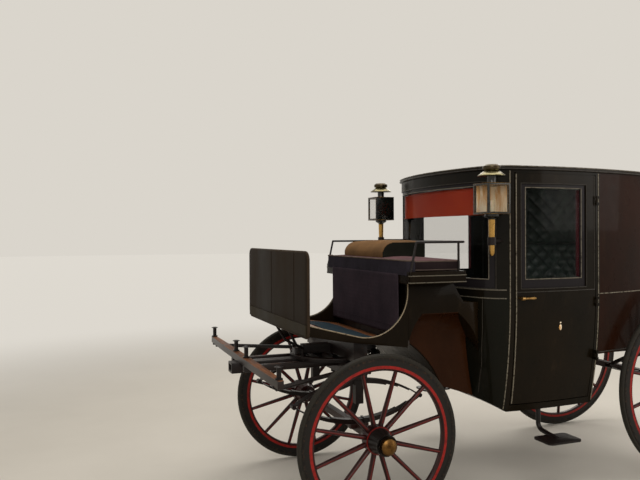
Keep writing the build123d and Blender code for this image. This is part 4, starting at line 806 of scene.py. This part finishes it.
# %% [markdown]
# The roof has a drip moulding at its edge, and a thin cream bead above it is a painted highlight, a
# line of light all round.

# %% Roof moulding
edge = surface("roof")
for name, z, radius, line_finish in (("roof_drip_bead", 2091, 4.5, dark_bead),
                                     ("roof_painted_highlight_line", 2108, 2, cream_bead)):
    half = girdle(edge, z, step=1.2)
    ring = half + mirrored(half)[1:-1]
    beads(name, radius, [ring], line_finish, closed=True)
print("roof moulding points", len(ring))

# %% [markdown]
# ## Windows
# A sash is framed by two fine lines: one on the lip of the rebate that it lies in, one against the
# glass. They are rectangles laid on the wall with the same rays, 4 mm outside the opening. A door
# also has a bead up its front edge, and one along its belt and up its rear edge.

# %% Sash lines
def frame_lines(tree, low, high, across, direction, margin=0.004):
    """Four sides of a rectangle on the wall, a margin outside its low and high corners."""
    low = low - across * margin - Vector((0, 0, margin))
    high = high + across * margin + Vector((0, 0, margin))
    upper = Vector((low.x, low.y, high.z))
    lower = Vector((high.x, high.y, low.z))
    ends = (low, upper, high, lower, low)
    return [laid(tree, [start, end], direction) for start, end in zip(ends, ends[1:])]


def front_rectangle(half, sill, head):
    return frame_lines(walls, at(-900, -half, sill), at(-900, half, head), Vector((0, 1, 0)),
                       BACKWARD)


beads("front_sash_lip", 3, front_rectangle(*FRONT_SASH), dark_bead)
beads("front_sash_line", 2.6, front_rectangle(*FRONT_PANE), cream_bead)
# the door's edges, and the belt that its sash stands on
DOOR_FRONT = -963
DOOR_REAR = -1586
SASH_BELT = 1316
DOOR_HEAD = 2058


def door_lines(side, sign):
    """The lines on one door, each with its name, its radius in millimetres and its finish."""
    door = surface(f"door_{side}")
    y = sign * SIDE

    def rectangle(rear, front, sill, head):
        return frame_lines(door, at(rear, y, sill), at(front, y, head), FORWARD, INWARD[side])

    def line(*corners):
        return laid(door, [at(x, y, z) for x, z in corners], INWARD[side])

    front_edge = line((-972, 604), (-966, 900), (DOOR_FRONT, BELT), (DOOR_FRONT, DOOR_HEAD))
    rear_edge = line((DOOR_REAR, SASH_BELT), (DOOR_REAR, DOOR_HEAD))
    belt = line((DOOR_FRONT, SASH_BELT), (DOOR_REAR, SASH_BELT))
    return (("door_sash_lip", 3, rectangle(*DOOR_SASH), dark_bead),
            ("door_sash_line", 2.6, rectangle(*DOOR_PANE), cream_bead),
            ("door_edge_bead", 3.6, [front_edge], cream_bead),
            ("door_belt_bead", 3.4, [rear_edge, belt], dark_bead))


for side, sign in SIDES:
    for name, radius, lines, line_finish in door_lines(side, sign):
        beads(f"{name}_{side}", radius, lines, line_finish, body=f"door_{side}")
print("sash and door lines done")

# %% [markdown]
# ## Seat board and foot well
# The seat board shows two fine lines along its edge. The foot well's side ends in a white bead that
# drops from the seat, sweeps round a quarter circle and runs out along the footboard to the dash.

# %% Seat board lines
def sweep_corner(start, corner, end, radius, count=14):
    """Straight, arc, straight: the path through a rounded corner."""
    into = (corner - start).normalized()
    away = (end - corner).normalized()
    turn = into.angle(away)
    cut = radius * math.tan(turn / 2)
    first = corner - into * cut
    inward = (away - into * into.dot(away)).normalized()
    centre = first + inward * radius
    arc = []
    for i in range(count + 1):
        part = turn * i / count
        arc.append(centre + into * radius * math.sin(part) - inward * radius * math.cos(part))
    return [start] + arc + [end]


# one side of the board's edge from front to rear: how far along, and how far out
BOARD_EDGE = ((-204, 655), (-206, 668), (-214, 671), (-583, 671), (-591, 668), (-593, 655))
seat_lines = []
for z in (1397, 1437):
    for sign in (1, -1):
        seat_lines.append([at(x, sign * y, z) for x, y in BOARD_EDGE])
    seat_lines.append([at(-593, 655, z), at(-593, -655, z)])
beads("seat_board_beads", 3, seat_lines, grey_bead)
WELL_SIDE = 561
well_lines = []
for y in (WELL_SIDE, -WELL_SIDE):
    well_lines.append(sweep_corner(at(-249, y, 1388), at(-249, y, 997), at(400, y, 1168), 0.262))
beads("foot_well_beads", 3.6, well_lines, pale_bead)
print("foot well bead points", len(well_lines[0]))

# %% [markdown]
# ## Stuffing a cushion
# A cushion is a sewn bag filled with hair. The bag is remeshed into even cells, then Blender's
# cloth blows it up with a little pressure while its seams and its resting face are held. No point
# may move farther than a cap. The result is kept as a plain mesh, and one subdivision smooths it.

# %% Cushion helper
def bake(piece):
    """Keeps what the modifiers make as the piece's own mesh."""
    graph = bpy.context.evaluated_depsgraph_get()
    mesh = bpy.data.meshes.new_from_object(piece.evaluated_get(graph))
    piece.modifiers.clear()
    piece.data = mesh


def solid_copy(node, inset):
    """A merged copy of a solid, drawn in along each axis by so many millimetres a side."""
    low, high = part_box(node)
    middle = (low + high) / 2
    size = high - low
    shape = bmesh.new()
    shape.from_mesh(nodes[node].data)
    bmesh.ops.remove_doubles(shape, verts=shape.verts, dist=MERGE)
    bmesh.ops.translate(shape, verts=shape.verts, vec=-middle)
    shares = [1 - 2 * inset[i] / 1000 / size[i] for i in range(3)]
    bmesh.ops.scale(shape, verts=shape.verts, vec=shares)
    bmesh.ops.translate(shape, verts=shape.verts, vec=middle)
    return shape


# frames that the cloth is given to swell
FRAMES = 20


def stuffed(node, inset, cell, cap, held, material, pressure=4.0):
    """A cushion from a solid. held says which points stay; cell and cap are in millimetres."""
    name = node.replace("inside", "cabin") + "_cloth"
    piece = mesh_piece(name, solid_copy(node, inset), material)
    even = piece.modifiers.new("even_cells", "REMESH")
    even.mode = "VOXEL"
    even.voxel_size = cell / 1000
    bake(piece)
    before = [v.co.copy() for v in piece.data.vertices]
    keep = piece.vertex_groups.new(name="held")
    keep.add([v.index for v in piece.data.vertices if held(v.co)], 1.0, "REPLACE")
    stuffing = piece.modifiers.new("stuffing", "CLOTH")
    stuffing.settings.use_pressure = True
    stuffing.settings.uniform_pressure_force = pressure
    stuffing.settings.vertex_group_mass = "held"
    stuffing.settings.effector_weights.gravity = 0
    for tick in range(FRAMES):
        scene.frame_set(tick + 1)
    bake(piece)
    for vertex, start in zip(piece.data.vertices, before):
        move = vertex.co - start
        if move.length > cap / 1000:
            vertex.co = start + move * (cap / 1000 / move.length)
    scene.frame_set(1)
    piece.data.materials.clear()
    piece.data.materials.append(material)
    piece.data.polygons.foreach_set("use_smooth", [True] * len(piece.data.polygons))
    smooth = piece.modifiers.new("smooth", "SUBSURF")
    smooth.levels = 1
    smooth.render_levels = 1
    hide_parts(node)
    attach(piece, "carriage_body")
    print(piece.name, "faces", len(piece.data.polygons))
    return piece


def second_finish(piece, material, chosen):
    """Gives the faces whose normal is chosen a second finish, and says how many they are."""
    piece.data.materials.append(material)
    picked = [int(chosen(face.normal)) for face in piece.data.polygons]
    piece.data.polygons.foreach_set("material_index", picked)
    print(piece.name, "faces in the second finish", sum(picked))


# %% [markdown]
# The driver's long cushion is a flat box, piped round its top and bottom edges. Its seams are held,
# so the pipings can be laid exactly on them afterwards. Its sides take a darker cloth: painted
# shade below its lit top.

# %% Driver's seat cushion
low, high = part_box("seat_cushion")


def on_seams(p):
    near = min(p.x - low.x, high.x - p.x, p.y - low.y, high.y - p.y) < 0.012
    return p.z < low.z + 0.006 or (near and not low.z + 0.014 <= p.z <= high.z - 0.018)


cushion = stuffed("seat_cushion", (3, 3, 0.4), 8, 14, on_seams, plum_cloth)
# faces that don't look up take the darker cloth, painted shade on the cushion's sides
second_finish(cushion, shaded_side_cloth, lambda normal: normal.z < 0.5)


def seam_ring(low, high, z, inset, corner=0.02):
    """A rounded rectangle at a height, for a piping."""
    x0, x1, y0, y1 = low.x + inset, high.x - inset, low.y + inset, high.y - inset
    ring = []
    for cx, cy, start in ((x1 - corner, y1 - corner, 0), (x0 + corner, y1 - corner, 90),
                          (x0 + corner, y0 + corner, 180), (x1 - corner, y0 + corner, 270)):
        for i in range(5):
            turn = math.radians(start + 22.5 * i)
            ring.append(Vector((cx + corner * math.cos(turn), cy + corner * math.sin(turn), z)))
    return ring


rings = [seam_ring(low, high, z, 0.004) for z in (high.z - 0.007, low.z + 0.008)]
# the pipings' lighter cloth is a painted highlight along the seams
beads("seat_cushion_piping", 4, rings, highlit_piping_cloth, closed=True)
print("piping rings", len(rings))

# %% [markdown]
# The driver's wedge sits on the long cushion and lifts the driver above the dash. Its sloping top
# is drab, and the faces that look to its ends and to its back are a cloth that is almost black.

# %% Wedge cushion
low_w, high_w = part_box("wedge_cushion")


def on_wedge_seams(p):
    near_end = min(p.y - low_w.y, high_w.y - p.y) < 0.012
    return p.z < low_w.z + 0.006 or (near_end and p.z > low_w.z + 0.022)


wedge = stuffed("wedge_cushion", (4, 3, 1), 7, 14, on_wedge_seams, drab_cloth)
second_finish(wedge, end_cloth, lambda normal: abs(normal.y) > 0.6 or normal.x < -0.6)

# %% [markdown]
# The cushion inside the cabin is only seen through the glass, so its cells are coarser. Its front
# edge has one seam, at the top.

# %% Cabin cushion
low_c, high_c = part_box("inside_cushion")


def on_cabin_seams(p):
    return p.z < low_c.z + 0.02 or (p.x > high_c.x - 0.02 and p.z > high_c.z - 0.025)


cabin_cushion = stuffed("inside_cushion", (8, 10, 10), 13, 12, on_cabin_seams, cabin_cloth)

# %% [markdown]
# ## Deep-buttoned lining
# The cabin is lined with thin leather over hair, drawn down by buttons set in diamonds. A flat grid
# is moved point by point: between the folds that join the buttons it swells like the product of
# two sines, and round each button it dips. The same recipe lines the rear seat's back and the wall
# above it.

# %% Buttoned lining helper
def buttoned(name, body, width, height, place, spacing, swell, material, cell=0.011):
    """A padded sheet over place(u, v), u and v in metres along and up, with diamonds of buttons."""
    def stuffed_point(across, up):
        u = (across + 0.5) * width
        v = (up + 0.5) * height
        first = u / spacing + v / spacing
        second = u / spacing - v / spacing
        puff = (abs(math.sin(math.pi * first)) * abs(math.sin(math.pi * second))) ** 0.55
        dip = math.exp(-((first - round(first)) ** 2 + (second - round(second)) ** 2) / 0.012)
        edge_fall = min(1.0, min(u, width - u, v, height - v) / 0.03) ** 0.5
        foot, out = place(u, v)
        return foot + out * (swell * (0.25 + 0.75 * puff) * edge_fall - swell * 0.25 * dip) / 1000

    grid = grid_of(round(width / cell), round(height / cell), stuffed_point)
    piece = mesh_piece(name, grid, material)
    thicken(piece, "hair_and_canvas", 6)
    studs = bmesh.new()
    flat = Matrix.Diagonal((1, 1, 0.5, 1))
    half = spacing / 2
    for i in range(1, int(width / half)):
        for j in range(1, int(height / half)):
            if (i + j) % 2 == 0:
                foot, out = place(i * half, j * half)
                turn = out.to_track_quat("Z", "Y").to_matrix().to_4x4()
                spot = Matrix.Translation(foot + out * swell * 0.1 / 1000) @ turn @ flat
                bmesh.ops.create_icosphere(studs, subdivisions=1, radius=0.008, matrix=spot)
    fixed(name + "_buttons", studs, material, body, smooth=True)
    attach(piece, body)
    print(name, "faces", len(piece.data.polygons))
    return piece


def hoop(tree, z, inset, start=62, end=298, count=120):
    """The inside of the rear walls as a line from the left post round the back to the right one."""
    middle = at(-1830, 0, z)
    hits = []
    for i in range(count + 1):
        turn = math.radians(start + i * (end - start) / count)
        away = Vector((math.cos(turn), math.sin(turn), 0))
        hit = tree.ray_cast(middle, away)[0]
        if hit is not None and hit.x < at(-1640, 0, 0).x:
            hits.append(hit - away * inset / 1000)
    return hits


def along(line):
    """place(u) for a line of points: the point that far along it, and the way into the cabin."""
    lengths = [0.0]
    for start, end in zip(line, line[1:]):
        lengths.append(lengths[-1] + (end - start).length)

    def place(u):
        u = min(max(u, 0.0), lengths[-1] - 1e-6)
        i = max(k for k in range(len(line) - 1) if lengths[k] <= u)
        share = (u - lengths[i]) / (lengths[i + 1] - lengths[i])
        run = (line[i + 1] - line[i]).normalized()
        return line[i].lerp(line[i + 1], share), Vector((-run.y, run.x, 0))

    return place, lengths[-1]


rear_walls = surface("lower_quarters", "upper_quarters", "back_panel")
BUTTON_SPACING = 0.112


def lining(name, low, high, line_z, inset, swell):
    """Buttoned leather from one height to another, along the walls' inside found at line_z."""
    place_on, length = along(hoop(rear_walls, line_z, inset))

    def place(u, v):
        foot, out = place_on(u)
        return Vector((foot.x, foot.y, (low + 1000 * v) / 1000)), out

    return buttoned(name, "carriage_body", length, (high - low) / 1000, place, BUTTON_SPACING,
                    swell, lining_leather)


squab = lining("cabin_squab", 1172, 1600, 1400, 42, 40)
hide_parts("inside_squab")
lining("cabin_upper_lining", 1608, 2066, 1800, 8, 26)

# %% [markdown]
# ## The seat's fall and its valance
# A short valance covers the front of the driver's cushion and turns its two corners. Below it
# hangs a plain cloth, the fall, whose few folds open towards the hem. Both are sheets that hang
# straight by their own weight, so a grid with soft waves, stronger lower down, gives their shape.
# Three sines whose lengths don't fit each other keep the waves from repeating.

# %% Hanging cloths
def hanging(name, flat, track, wave, count, material, rows):
    """A hung sheet of a flat size in metres: its upper edge follows track(s), s from its middle."""
    width, drop = flat

    def hung_point(across, up):
        down = 0.5 - up
        swing = math.sin(2 * math.pi * count * across + 0.7) * 0.6
        swing += math.sin(2 * math.pi * (count * 1.73) * across + 2.1) * 0.3
        swing += math.sin(2 * math.pi * (count * 3.1) * across + 0.2 + 2 * down) * 0.15
        foot, out = track(across * width)
        lower = Vector((0, 0, -drop * down + 0.002 * swing * down))
        return foot + out * (wave / 1000 * swing * down ** 1.3) + lower

    piece = mesh_piece(name, evened(grid_of(120, rows, hung_point)), material)
    thicken(piece, "cloth_thickness", 4, 0)
    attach(piece, "carriage_body")
    return piece


def straight_track(s):
    return at(-200, 1000 * s, 1446), FORWARD


CORNER_RADIUS = 0.03
CUSHION_HALF = 0.652


def corner_track(s):
    """Along the cushion's front, round its corner, and a little way back."""
    front = CUSHION_HALF - CORNER_RADIUS
    past = abs(s) - front
    turn = min(max(past / CORNER_RADIUS, 0), math.pi / 2)
    back = max(past - CORNER_RADIUS * math.pi / 2, 0)
    sign = 1 if s > 0 else -1
    x = -CORNER_RADIUS * (1 - math.cos(turn)) - back
    y = min(abs(s), front) + CORNER_RADIUS * math.sin(turn)
    out = Vector((math.cos(turn), sign * math.sin(turn), 0))
    return at(-203, 0, 1527) + Vector((x, sign * y, 0)), out


FALL = (1.06, 0.37)
VALANCE = (1.37, 0.088)
fall = hanging("seat_fall_cloth", FALL, straight_track, 4, 5, fall_cloth, 26)
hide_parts("seat_fall")
hanging("seat_valance_cloth", VALANCE, corner_track, 2.5, 8, valance_cloth, 8)
track = [corner_track(i * VALANCE[0] / 100) for i in range(-50, 51)]
roll = [foot for foot, out in track]
hem = [foot + out * 0.002 - Vector((0, 0, 0.084)) for foot, out in track]
# the roll takes the lighter piping cloth, a painted highlight along the valance's top
beads("valance_roll", 5, [roll], highlit_piping_cloth)
beads("valance_hem", 2.5, [hem], valance_cloth)
fall_face = BVHTree.FromPolygons([v.co for v in fall.data.vertices],
                                 [face.vertices[:] for face in fall.data.polygons])
seam = [fall_face.ray_cast(at(0, y, 1128), BACKWARD)[0] + FORWARD * 0.002
        for y in range(-526, 527, 12)]
beads("fall_seam", 1.6, [seam], fall_cloth)
print("hanging cloths", 2)

# %% [markdown]
# ## Blind
# A silk blind is drawn a third of the way down behind the front glass. It follows the bow, with a
# narrow hem that hides its batten.

# %% Front blind
panes = surface("front_glass")
BLIND_WIDTH = 1116
BLIND_DROP = 176
BLIND_MIDDLE = 1893
BEHIND_GLASS = 12


def blind_point(y, z, depth):
    hit = panes.ray_cast(at(-300, y, z), BACKWARD)[0]
    return hit - Vector((depth / 1000, 0, 0))


def silk_point(across, up):
    y = across * BLIND_WIDTH
    z = BLIND_MIDDLE + up * BLIND_DROP
    crease = 0.8 * math.sin(y / 31) + 0.6 * math.sin(y / 83 + z / 40)
    return blind_point(y, z, BEHIND_GLASS + crease)


blind = mesh_piece("front_blind_cloth", evened(grid_of(90, 16, silk_point)), blind_cloth)
thicken(blind, "silk", 1.5)
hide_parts("front_blind")
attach(blind, "carriage_body")
batten = [blind_point(y, 1808, BEHIND_GLASS) for y in range(-544, 545, 32)]
beads("blind_batten", 4, [batten], blind_cloth)
print("blind faces", len(blind.data.polygons))

# %% [markdown]
# ## Dash
# The dash's leather is stitched over an iron frame: a rubbed welt runs round its edge, two seams
# join its three widths, and a folded band, a little creased, closes it at the foot on both faces.

# %% Dash welt, seams and band
DASH_X = 410
DASH_HALF = 630
DASH_FOOT = 1102
DASH_HEAD = 1583
CORNER = 44
welt = []
# the four corners with their signs, each turned through from its first direction in degrees
for y_sign, z_sign, start in ((1, 1, 0), (-1, 1, 90), (-1, -1, 180), (1, -1, 270)):
    y = y_sign * (DASH_HALF - CORNER)
    z = DASH_HEAD - CORNER if z_sign > 0 else DASH_FOOT + CORNER
    for i in range(7):
        turn = math.radians(start + 15 * i)
        welt.append(at(DASH_X, y + CORNER * math.cos(turn), z + CORNER * math.sin(turn)))
beads("dash_welt", 8.8, [welt], welt_leather, closed=True)
seams = [[at(x, y, 1176), at(x, y, 1578)] for x in (418.3, 401.7) for y in (-70, 395)]
beads("dash_seams", 1.3, seams, dash_leather)
BAND_WIDTH = 1236
BAND_TALL = 66
BAND_MIDDLE = 1140


def dash_band(name, x, out):
    """The band on one face of the dash, its creases rising outwards."""
    def creased(across, up):
        y = across * BAND_WIDTH
        z = BAND_MIDDLE + up * BAND_TALL
        fold = 0.5 * math.sin(y / 67) * math.sin(z / 24) + 0.3 * math.sin(y / 29 + z / 30)
        return at(x + out * fold, y, z)

    band = evened(grid_of(90, 10, creased))
    piece = fixed(name, band, band_leather, smooth=True)
    thicken(piece, "leather", 3, 0)


dash_band("dash_band_front", 419.4, 1)
dash_band("dash_band_rear", 400.6, -1)
print("dash seams", len(seams))

# %% [markdown]
# ## Lamps
# Behind its two bevelled panes a lamp is a silvered box: plates on the inner and rear walls throw
# the candle's light out. Tall streaks from cream-white to amber on the plates are painted glints.
# Brass rims hold the panes, and a candle stands in the tube.

# %% Lamp fittings
def silver_plate():
    material, tree, shader, place = begin("silvered_reflector", Metallic=0.4)
    # tall streaks from cream-white to amber: painted glints on the plates; the same streaks set
    # their ripple and roughness
    ripple_and_glint_streaks = patches(tree, place, 40, 0.42, 0.6, (1, 1, 0.2))
    shade(tree, shader, between(tree, ripple_and_glint_streaks, "#fff3dc", "#dba868"), ripple_and_glint_streaks, 0.1, 0.26)
    relief(tree, shader, ripple_and_glint_streaks, 1.5, 0.5)
    return material


silver = silver_plate()
# candle wax, yellower where it has run
wax, tree, shader, place = begin("candle_wax", Roughness=0.5, Subsurface_Weight=0.3)
drips = patches(tree, place, 12, 0.4, 0.7)
tree.links.new(between(tree, drips, "#e8dcc0", "#d8c8a4"), shader.inputs["Base Color"])


def box_into(shape, low, high):
    """A box between two corners, added to a bmesh."""
    spot = Matrix.Translation((low + high) / 2) @ Matrix.Diagonal((*(high - low), 1))
    return bmesh.ops.create_cube(shape, size=1, matrix=spot)


# a pane's corners, from the lamp's middle and from the ground; and half the width of the case
PANE = ((-66, 1813), (66, 1813), (66, 1973), (-66, 1973))
CASE_HALF = 78
for side, sign in SIDES:
    plates = bmesh.new()
    y = sign * LAMP_Y
    # the inner wall's plate and the rear wall's, 2 mm thick
    inner = sorted((y - sign * 65.5, y - sign * 63.5))
    box_into(plates, at(-776, inner[0], 1814), at(-648, inner[1], 1972))
    box_into(plates, at(-777.5, y - 62, 1814), at(-775.5, y + 62, 1972))
    fixed(f"lamp_reflector_{side}", evened(plates), silver)
    candle = bmesh.new()
    bmesh.ops.create_cone(candle, cap_ends=True, segments=24, radius1=0.011, radius2=0.0105,
                          depth=0.07, matrix=Matrix.Translation(at(LAMP_X, y, 1849)))
    fixed(f"lamp_candle_{side}", candle, wax)
    front_rim = [at(-634.5, y + across, z) for across, z in PANE]
    side_rim = [at(LAMP_X + across, y + sign * 77.5, z) for across, z in PANE]
    beads(f"lamp_rims_{side}", 1.3, [front_rim, side_rim], lamp_trim_brass, closed=True)
    edges = [[at(LAMP_X + i * CASE_HALF, y + j * CASE_HALF, z)
              for i, j in ((-1, -1), (1, -1), (1, 1), (-1, 1))] for z in (1802, 1984)]
    beads(f"lamp_edges_{side}", 1.8, edges, lamp_trim_brass, closed=True)
print("lamps fitted")

# %% [markdown]
# ## Head rails and jamb linings
# A rail closes the body above each door, up to the roof, and a stop strip inside it, which the door
# shuts against, keeps the daylight out. Both are a grid of one row laid along a line of rays onto
# the door, outside or inside, and given their wall by Solidify. Behind the glass, the rear jamb of
# each window is lined in wine-red leather.

# %% Head rails and jamb linings
wine = leather("wine_jamb_leather", "#3c1219", "#551c25")


def head_strip(name, line, inward, low, high, wall):
    """A strip along a line of points, from one height to another, its wall towards the cabin."""
    def strip_point(across, up):
        foot = line[round((across + 0.5) * (len(line) - 1))]
        return Vector((foot.x, foot.y, low if up < 0 else high)) + inward * 0.001

    strip = evened(grid_of(len(line) - 1, 1, strip_point))
    piece = fixed(name, strip, olive_varnish)
    thicken(piece, "wall", wall, 1 if piece.data.polygons[0].normal.dot(inward) > 0 else -1)


UNDER_ROOF = 2.0838
for side, sign in SIDES:
    inward = INWARD[side]
    door = surface(f"door_{side}")
    ends = [at(-961, sign * SIDE, 2050), at(-1588, sign * SIDE, 2050)]
    rail = laid(door, ends, inward, 0.04)
    head_strip(f"head_rail_{side}", rail, inward, 2.065, UNDER_ROOF, 24)
    ends = [at(-985, sign * 500, 2056), at(-1565, sign * 500, 2056)]
    stop = laid(door, ends, -inward, 0.04)
    head_strip(f"head_stop_{side}", stop, inward, 2.052, UNDER_ROOF, 6)
    jamb = bmesh.new()
    across = sorted((sign * 612, sign * 640))
    box_into(jamb, at(-1469.5, across[0], 1402), at(-1466.5, across[1], 1970))
    fixed(f"jamb_lining_{side}", jamb, wine, f"door_{side}")
print("rail points", len(rail), len(stop))

# %% [markdown]
# ## Riser board, foot mat and door boss
# A riser board closes the foot well between its floor and the boot, behind the fall. It is a wide
# board with a lower, thinner end on each side, where the well leaves less room.

# %% Riser board
BOARD_HALF = 535.5
RISER_REAR = -262
riser = bmesh.new()
box_into(riser, at(RISER_REAR, -BOARD_HALF, 1001), at(-250.6, BOARD_HALF, 1090))
box_into(riser, at(RISER_REAR, -556, 1010), at(-252.5, -BOARD_HALF, 1075))
box_into(riser, at(RISER_REAR, BOARD_HALF, 1010), at(-252.5, 556, 1075))
fixed("foot_well_riser", riser, dark_boards)
print("riser board", 2 * BOARD_HALF, "mm wide")

# %% [markdown]
# A dark blue mat lies on the foot boards ahead of the fall. Rays find the boards' slope, and a slow
# wave lifts the mat a little where boots have pushed it up.

# %% Foot mat
boards = surface("footboard")
MAT_LENGTH = 230
MAT_WIDTH = 860
MAT_X = -10


def mat_point(across, up):
    x = MAT_X + across * MAT_LENGTH
    y = up * MAT_WIDTH
    hit = boards.ray_cast(at(x, y, 1400), Vector((0, 0, -1)))[0]
    return hit + Vector((0, 0, 0.004 + 0.0015 * math.sin(y / 47) * math.sin(x / 29)))


mat = mesh_piece("foot_mat", evened(grid_of(24, 60, mat_point)), mat_cloth)
thicken(mat, "pile", 4)
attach(mat, "carriage_body")
print("mat faces", len(mat.data.polygons))

# %% [markdown]
# A small plain boss, an oval with a smaller one above it, sits in the middle of each door panel.

# %% Oval boss on each door
for side, sign in SIDES:
    hit = surface(f"door_{side}").ray_cast(at(-1297, sign * 900, 1082), INWARD[side])[0]
    boss = bmesh.new()
    for up, half_sizes, around, rings in ((0, (0.011, 0.004, 0.019), 24, 12),
                                          (0.03, (0.008, 0.003, 0.006), 20, 10)):
        spot = Matrix.Translation(hit + Vector((0, 0, up))) @ Matrix.Diagonal((*half_sizes, 1))
        bmesh.ops.create_uvsphere(boss, u_segments=around, v_segments=rings, radius=1, matrix=spot)
    fixed(f"door_boss_{side}", boss, silver, f"door_{side}", smooth=True)
print("door bosses", 2)

# %% [markdown]
# ## Studio
# A plain pale floor and four large soft lamps. The pale background is only what the camera, gloss
# and glass see; the light on the carriage comes from a weaker sky and the lamps. Near the carriage
# the floor is plain paper that takes its shadow; farther out it fades into the backdrop.

# %% Floor
BACKDROP = "#dad5cc"


def seen_strength(tree):
    """Full strength for what the camera, gloss and glass see, half of it as light."""
    path = add(tree, "ShaderNodeLightPath").outputs
    seen = calc(tree, "MAXIMUM", path["Is Camera Ray"], path["Is Glossy Ray"])
    seen = calc(tree, "MAXIMUM", seen, path["Is Transmission Ray"])
    strength = add(tree, "ShaderNodeMapRange", {"Value": seen, "To Min": 0.5, "To Max": 1.0})
    return strength.outputs["Result"]


PAPER_END = 3.2
BACKDROP_START = 9.0
FLOOR_RADIUS = 60
paper, tree, shader, place = begin("pale_studio_floor", Roughness=0.85, Specular_IOR_Level=0.1,
                                   Emission_Color=colour(BACKDROP))
reach = add(tree, "ShaderNodeVectorMath", {0: place}, operation="LENGTH").outputs["Value"]
away = add(tree, "ShaderNodeMapRange",
           {"Value": reach, "From Min": PAPER_END, "From Max": BACKDROP_START},
           interpolation_type="SMOOTHSTEP").outputs["Result"]
near_paper = between(tree, patches(tree, place, 900, 0.3, 0.7), "#d9d4cb", "#d4cfc6")
tree.links.new(between(tree, away, near_paper, "#000000"), shader.inputs["Base Color"])
strength = calc(tree, "MULTIPLY", away, seen_strength(tree))
tree.links.new(strength, shader.inputs["Emission Strength"])
disc = bmesh.new()
bmesh.ops.create_circle(disc, cap_ends=True, segments=96, radius=FLOOR_RADIUS)
studio_floor = mesh_piece("studio_floor", disc, paper, smooth=False)
print("floor radius", FLOOR_RADIUS, "m")

# %% [markdown]
# The key lamp stands high on the carriage's left, the side that the camera sees. A fill lamp and a
# rear lamp lift the shadows, and a top lamp draws the roof's edge.

# %% Sky and lamps
sky = bpy.data.worlds.new("studio")
sky.use_nodes = True
scene.world = sky
tree = sky.node_tree
tree.nodes.clear()
glow = add(tree, "ShaderNodeBackground", {"Color": colour(BACKDROP),
                                          "Strength": seen_strength(tree)})
add(tree, "ShaderNodeOutputWorld", {"Surface": glow.outputs[0]})

AIM = Vector((0, 0, 0.9))
# name, place in metres, power in watts and width in metres of each lamp
LAMPS = (("key_lamp", (3.2, 6.0, 5.2), 210, 4.5), ("fill_lamp", (-5.0, 4.5, 3.6), 90, 4.0),
         ("top_lamp", (-0.5, -1.0, 6.0), 190, 5.0), ("rear_lamp", (-3.5, -5.5, 4.0), 90, 4.0))
for name, spot, power, size in LAMPS:
    lamp = bpy.data.lights.new(name, "AREA")
    lamp.energy = power
    lamp.size = size
    lamp.color = (1.0, 0.965, 0.91)
    light = bpy.data.objects.new(name, lamp)
    turn = (AIM - Vector(spot)).to_track_quat("-Z", "Y").to_matrix().to_4x4()
    light.matrix_world = Matrix.Translation(spot) @ turn
    scene.collection.objects.link(light)
print("studio lamps", len(LAMPS))
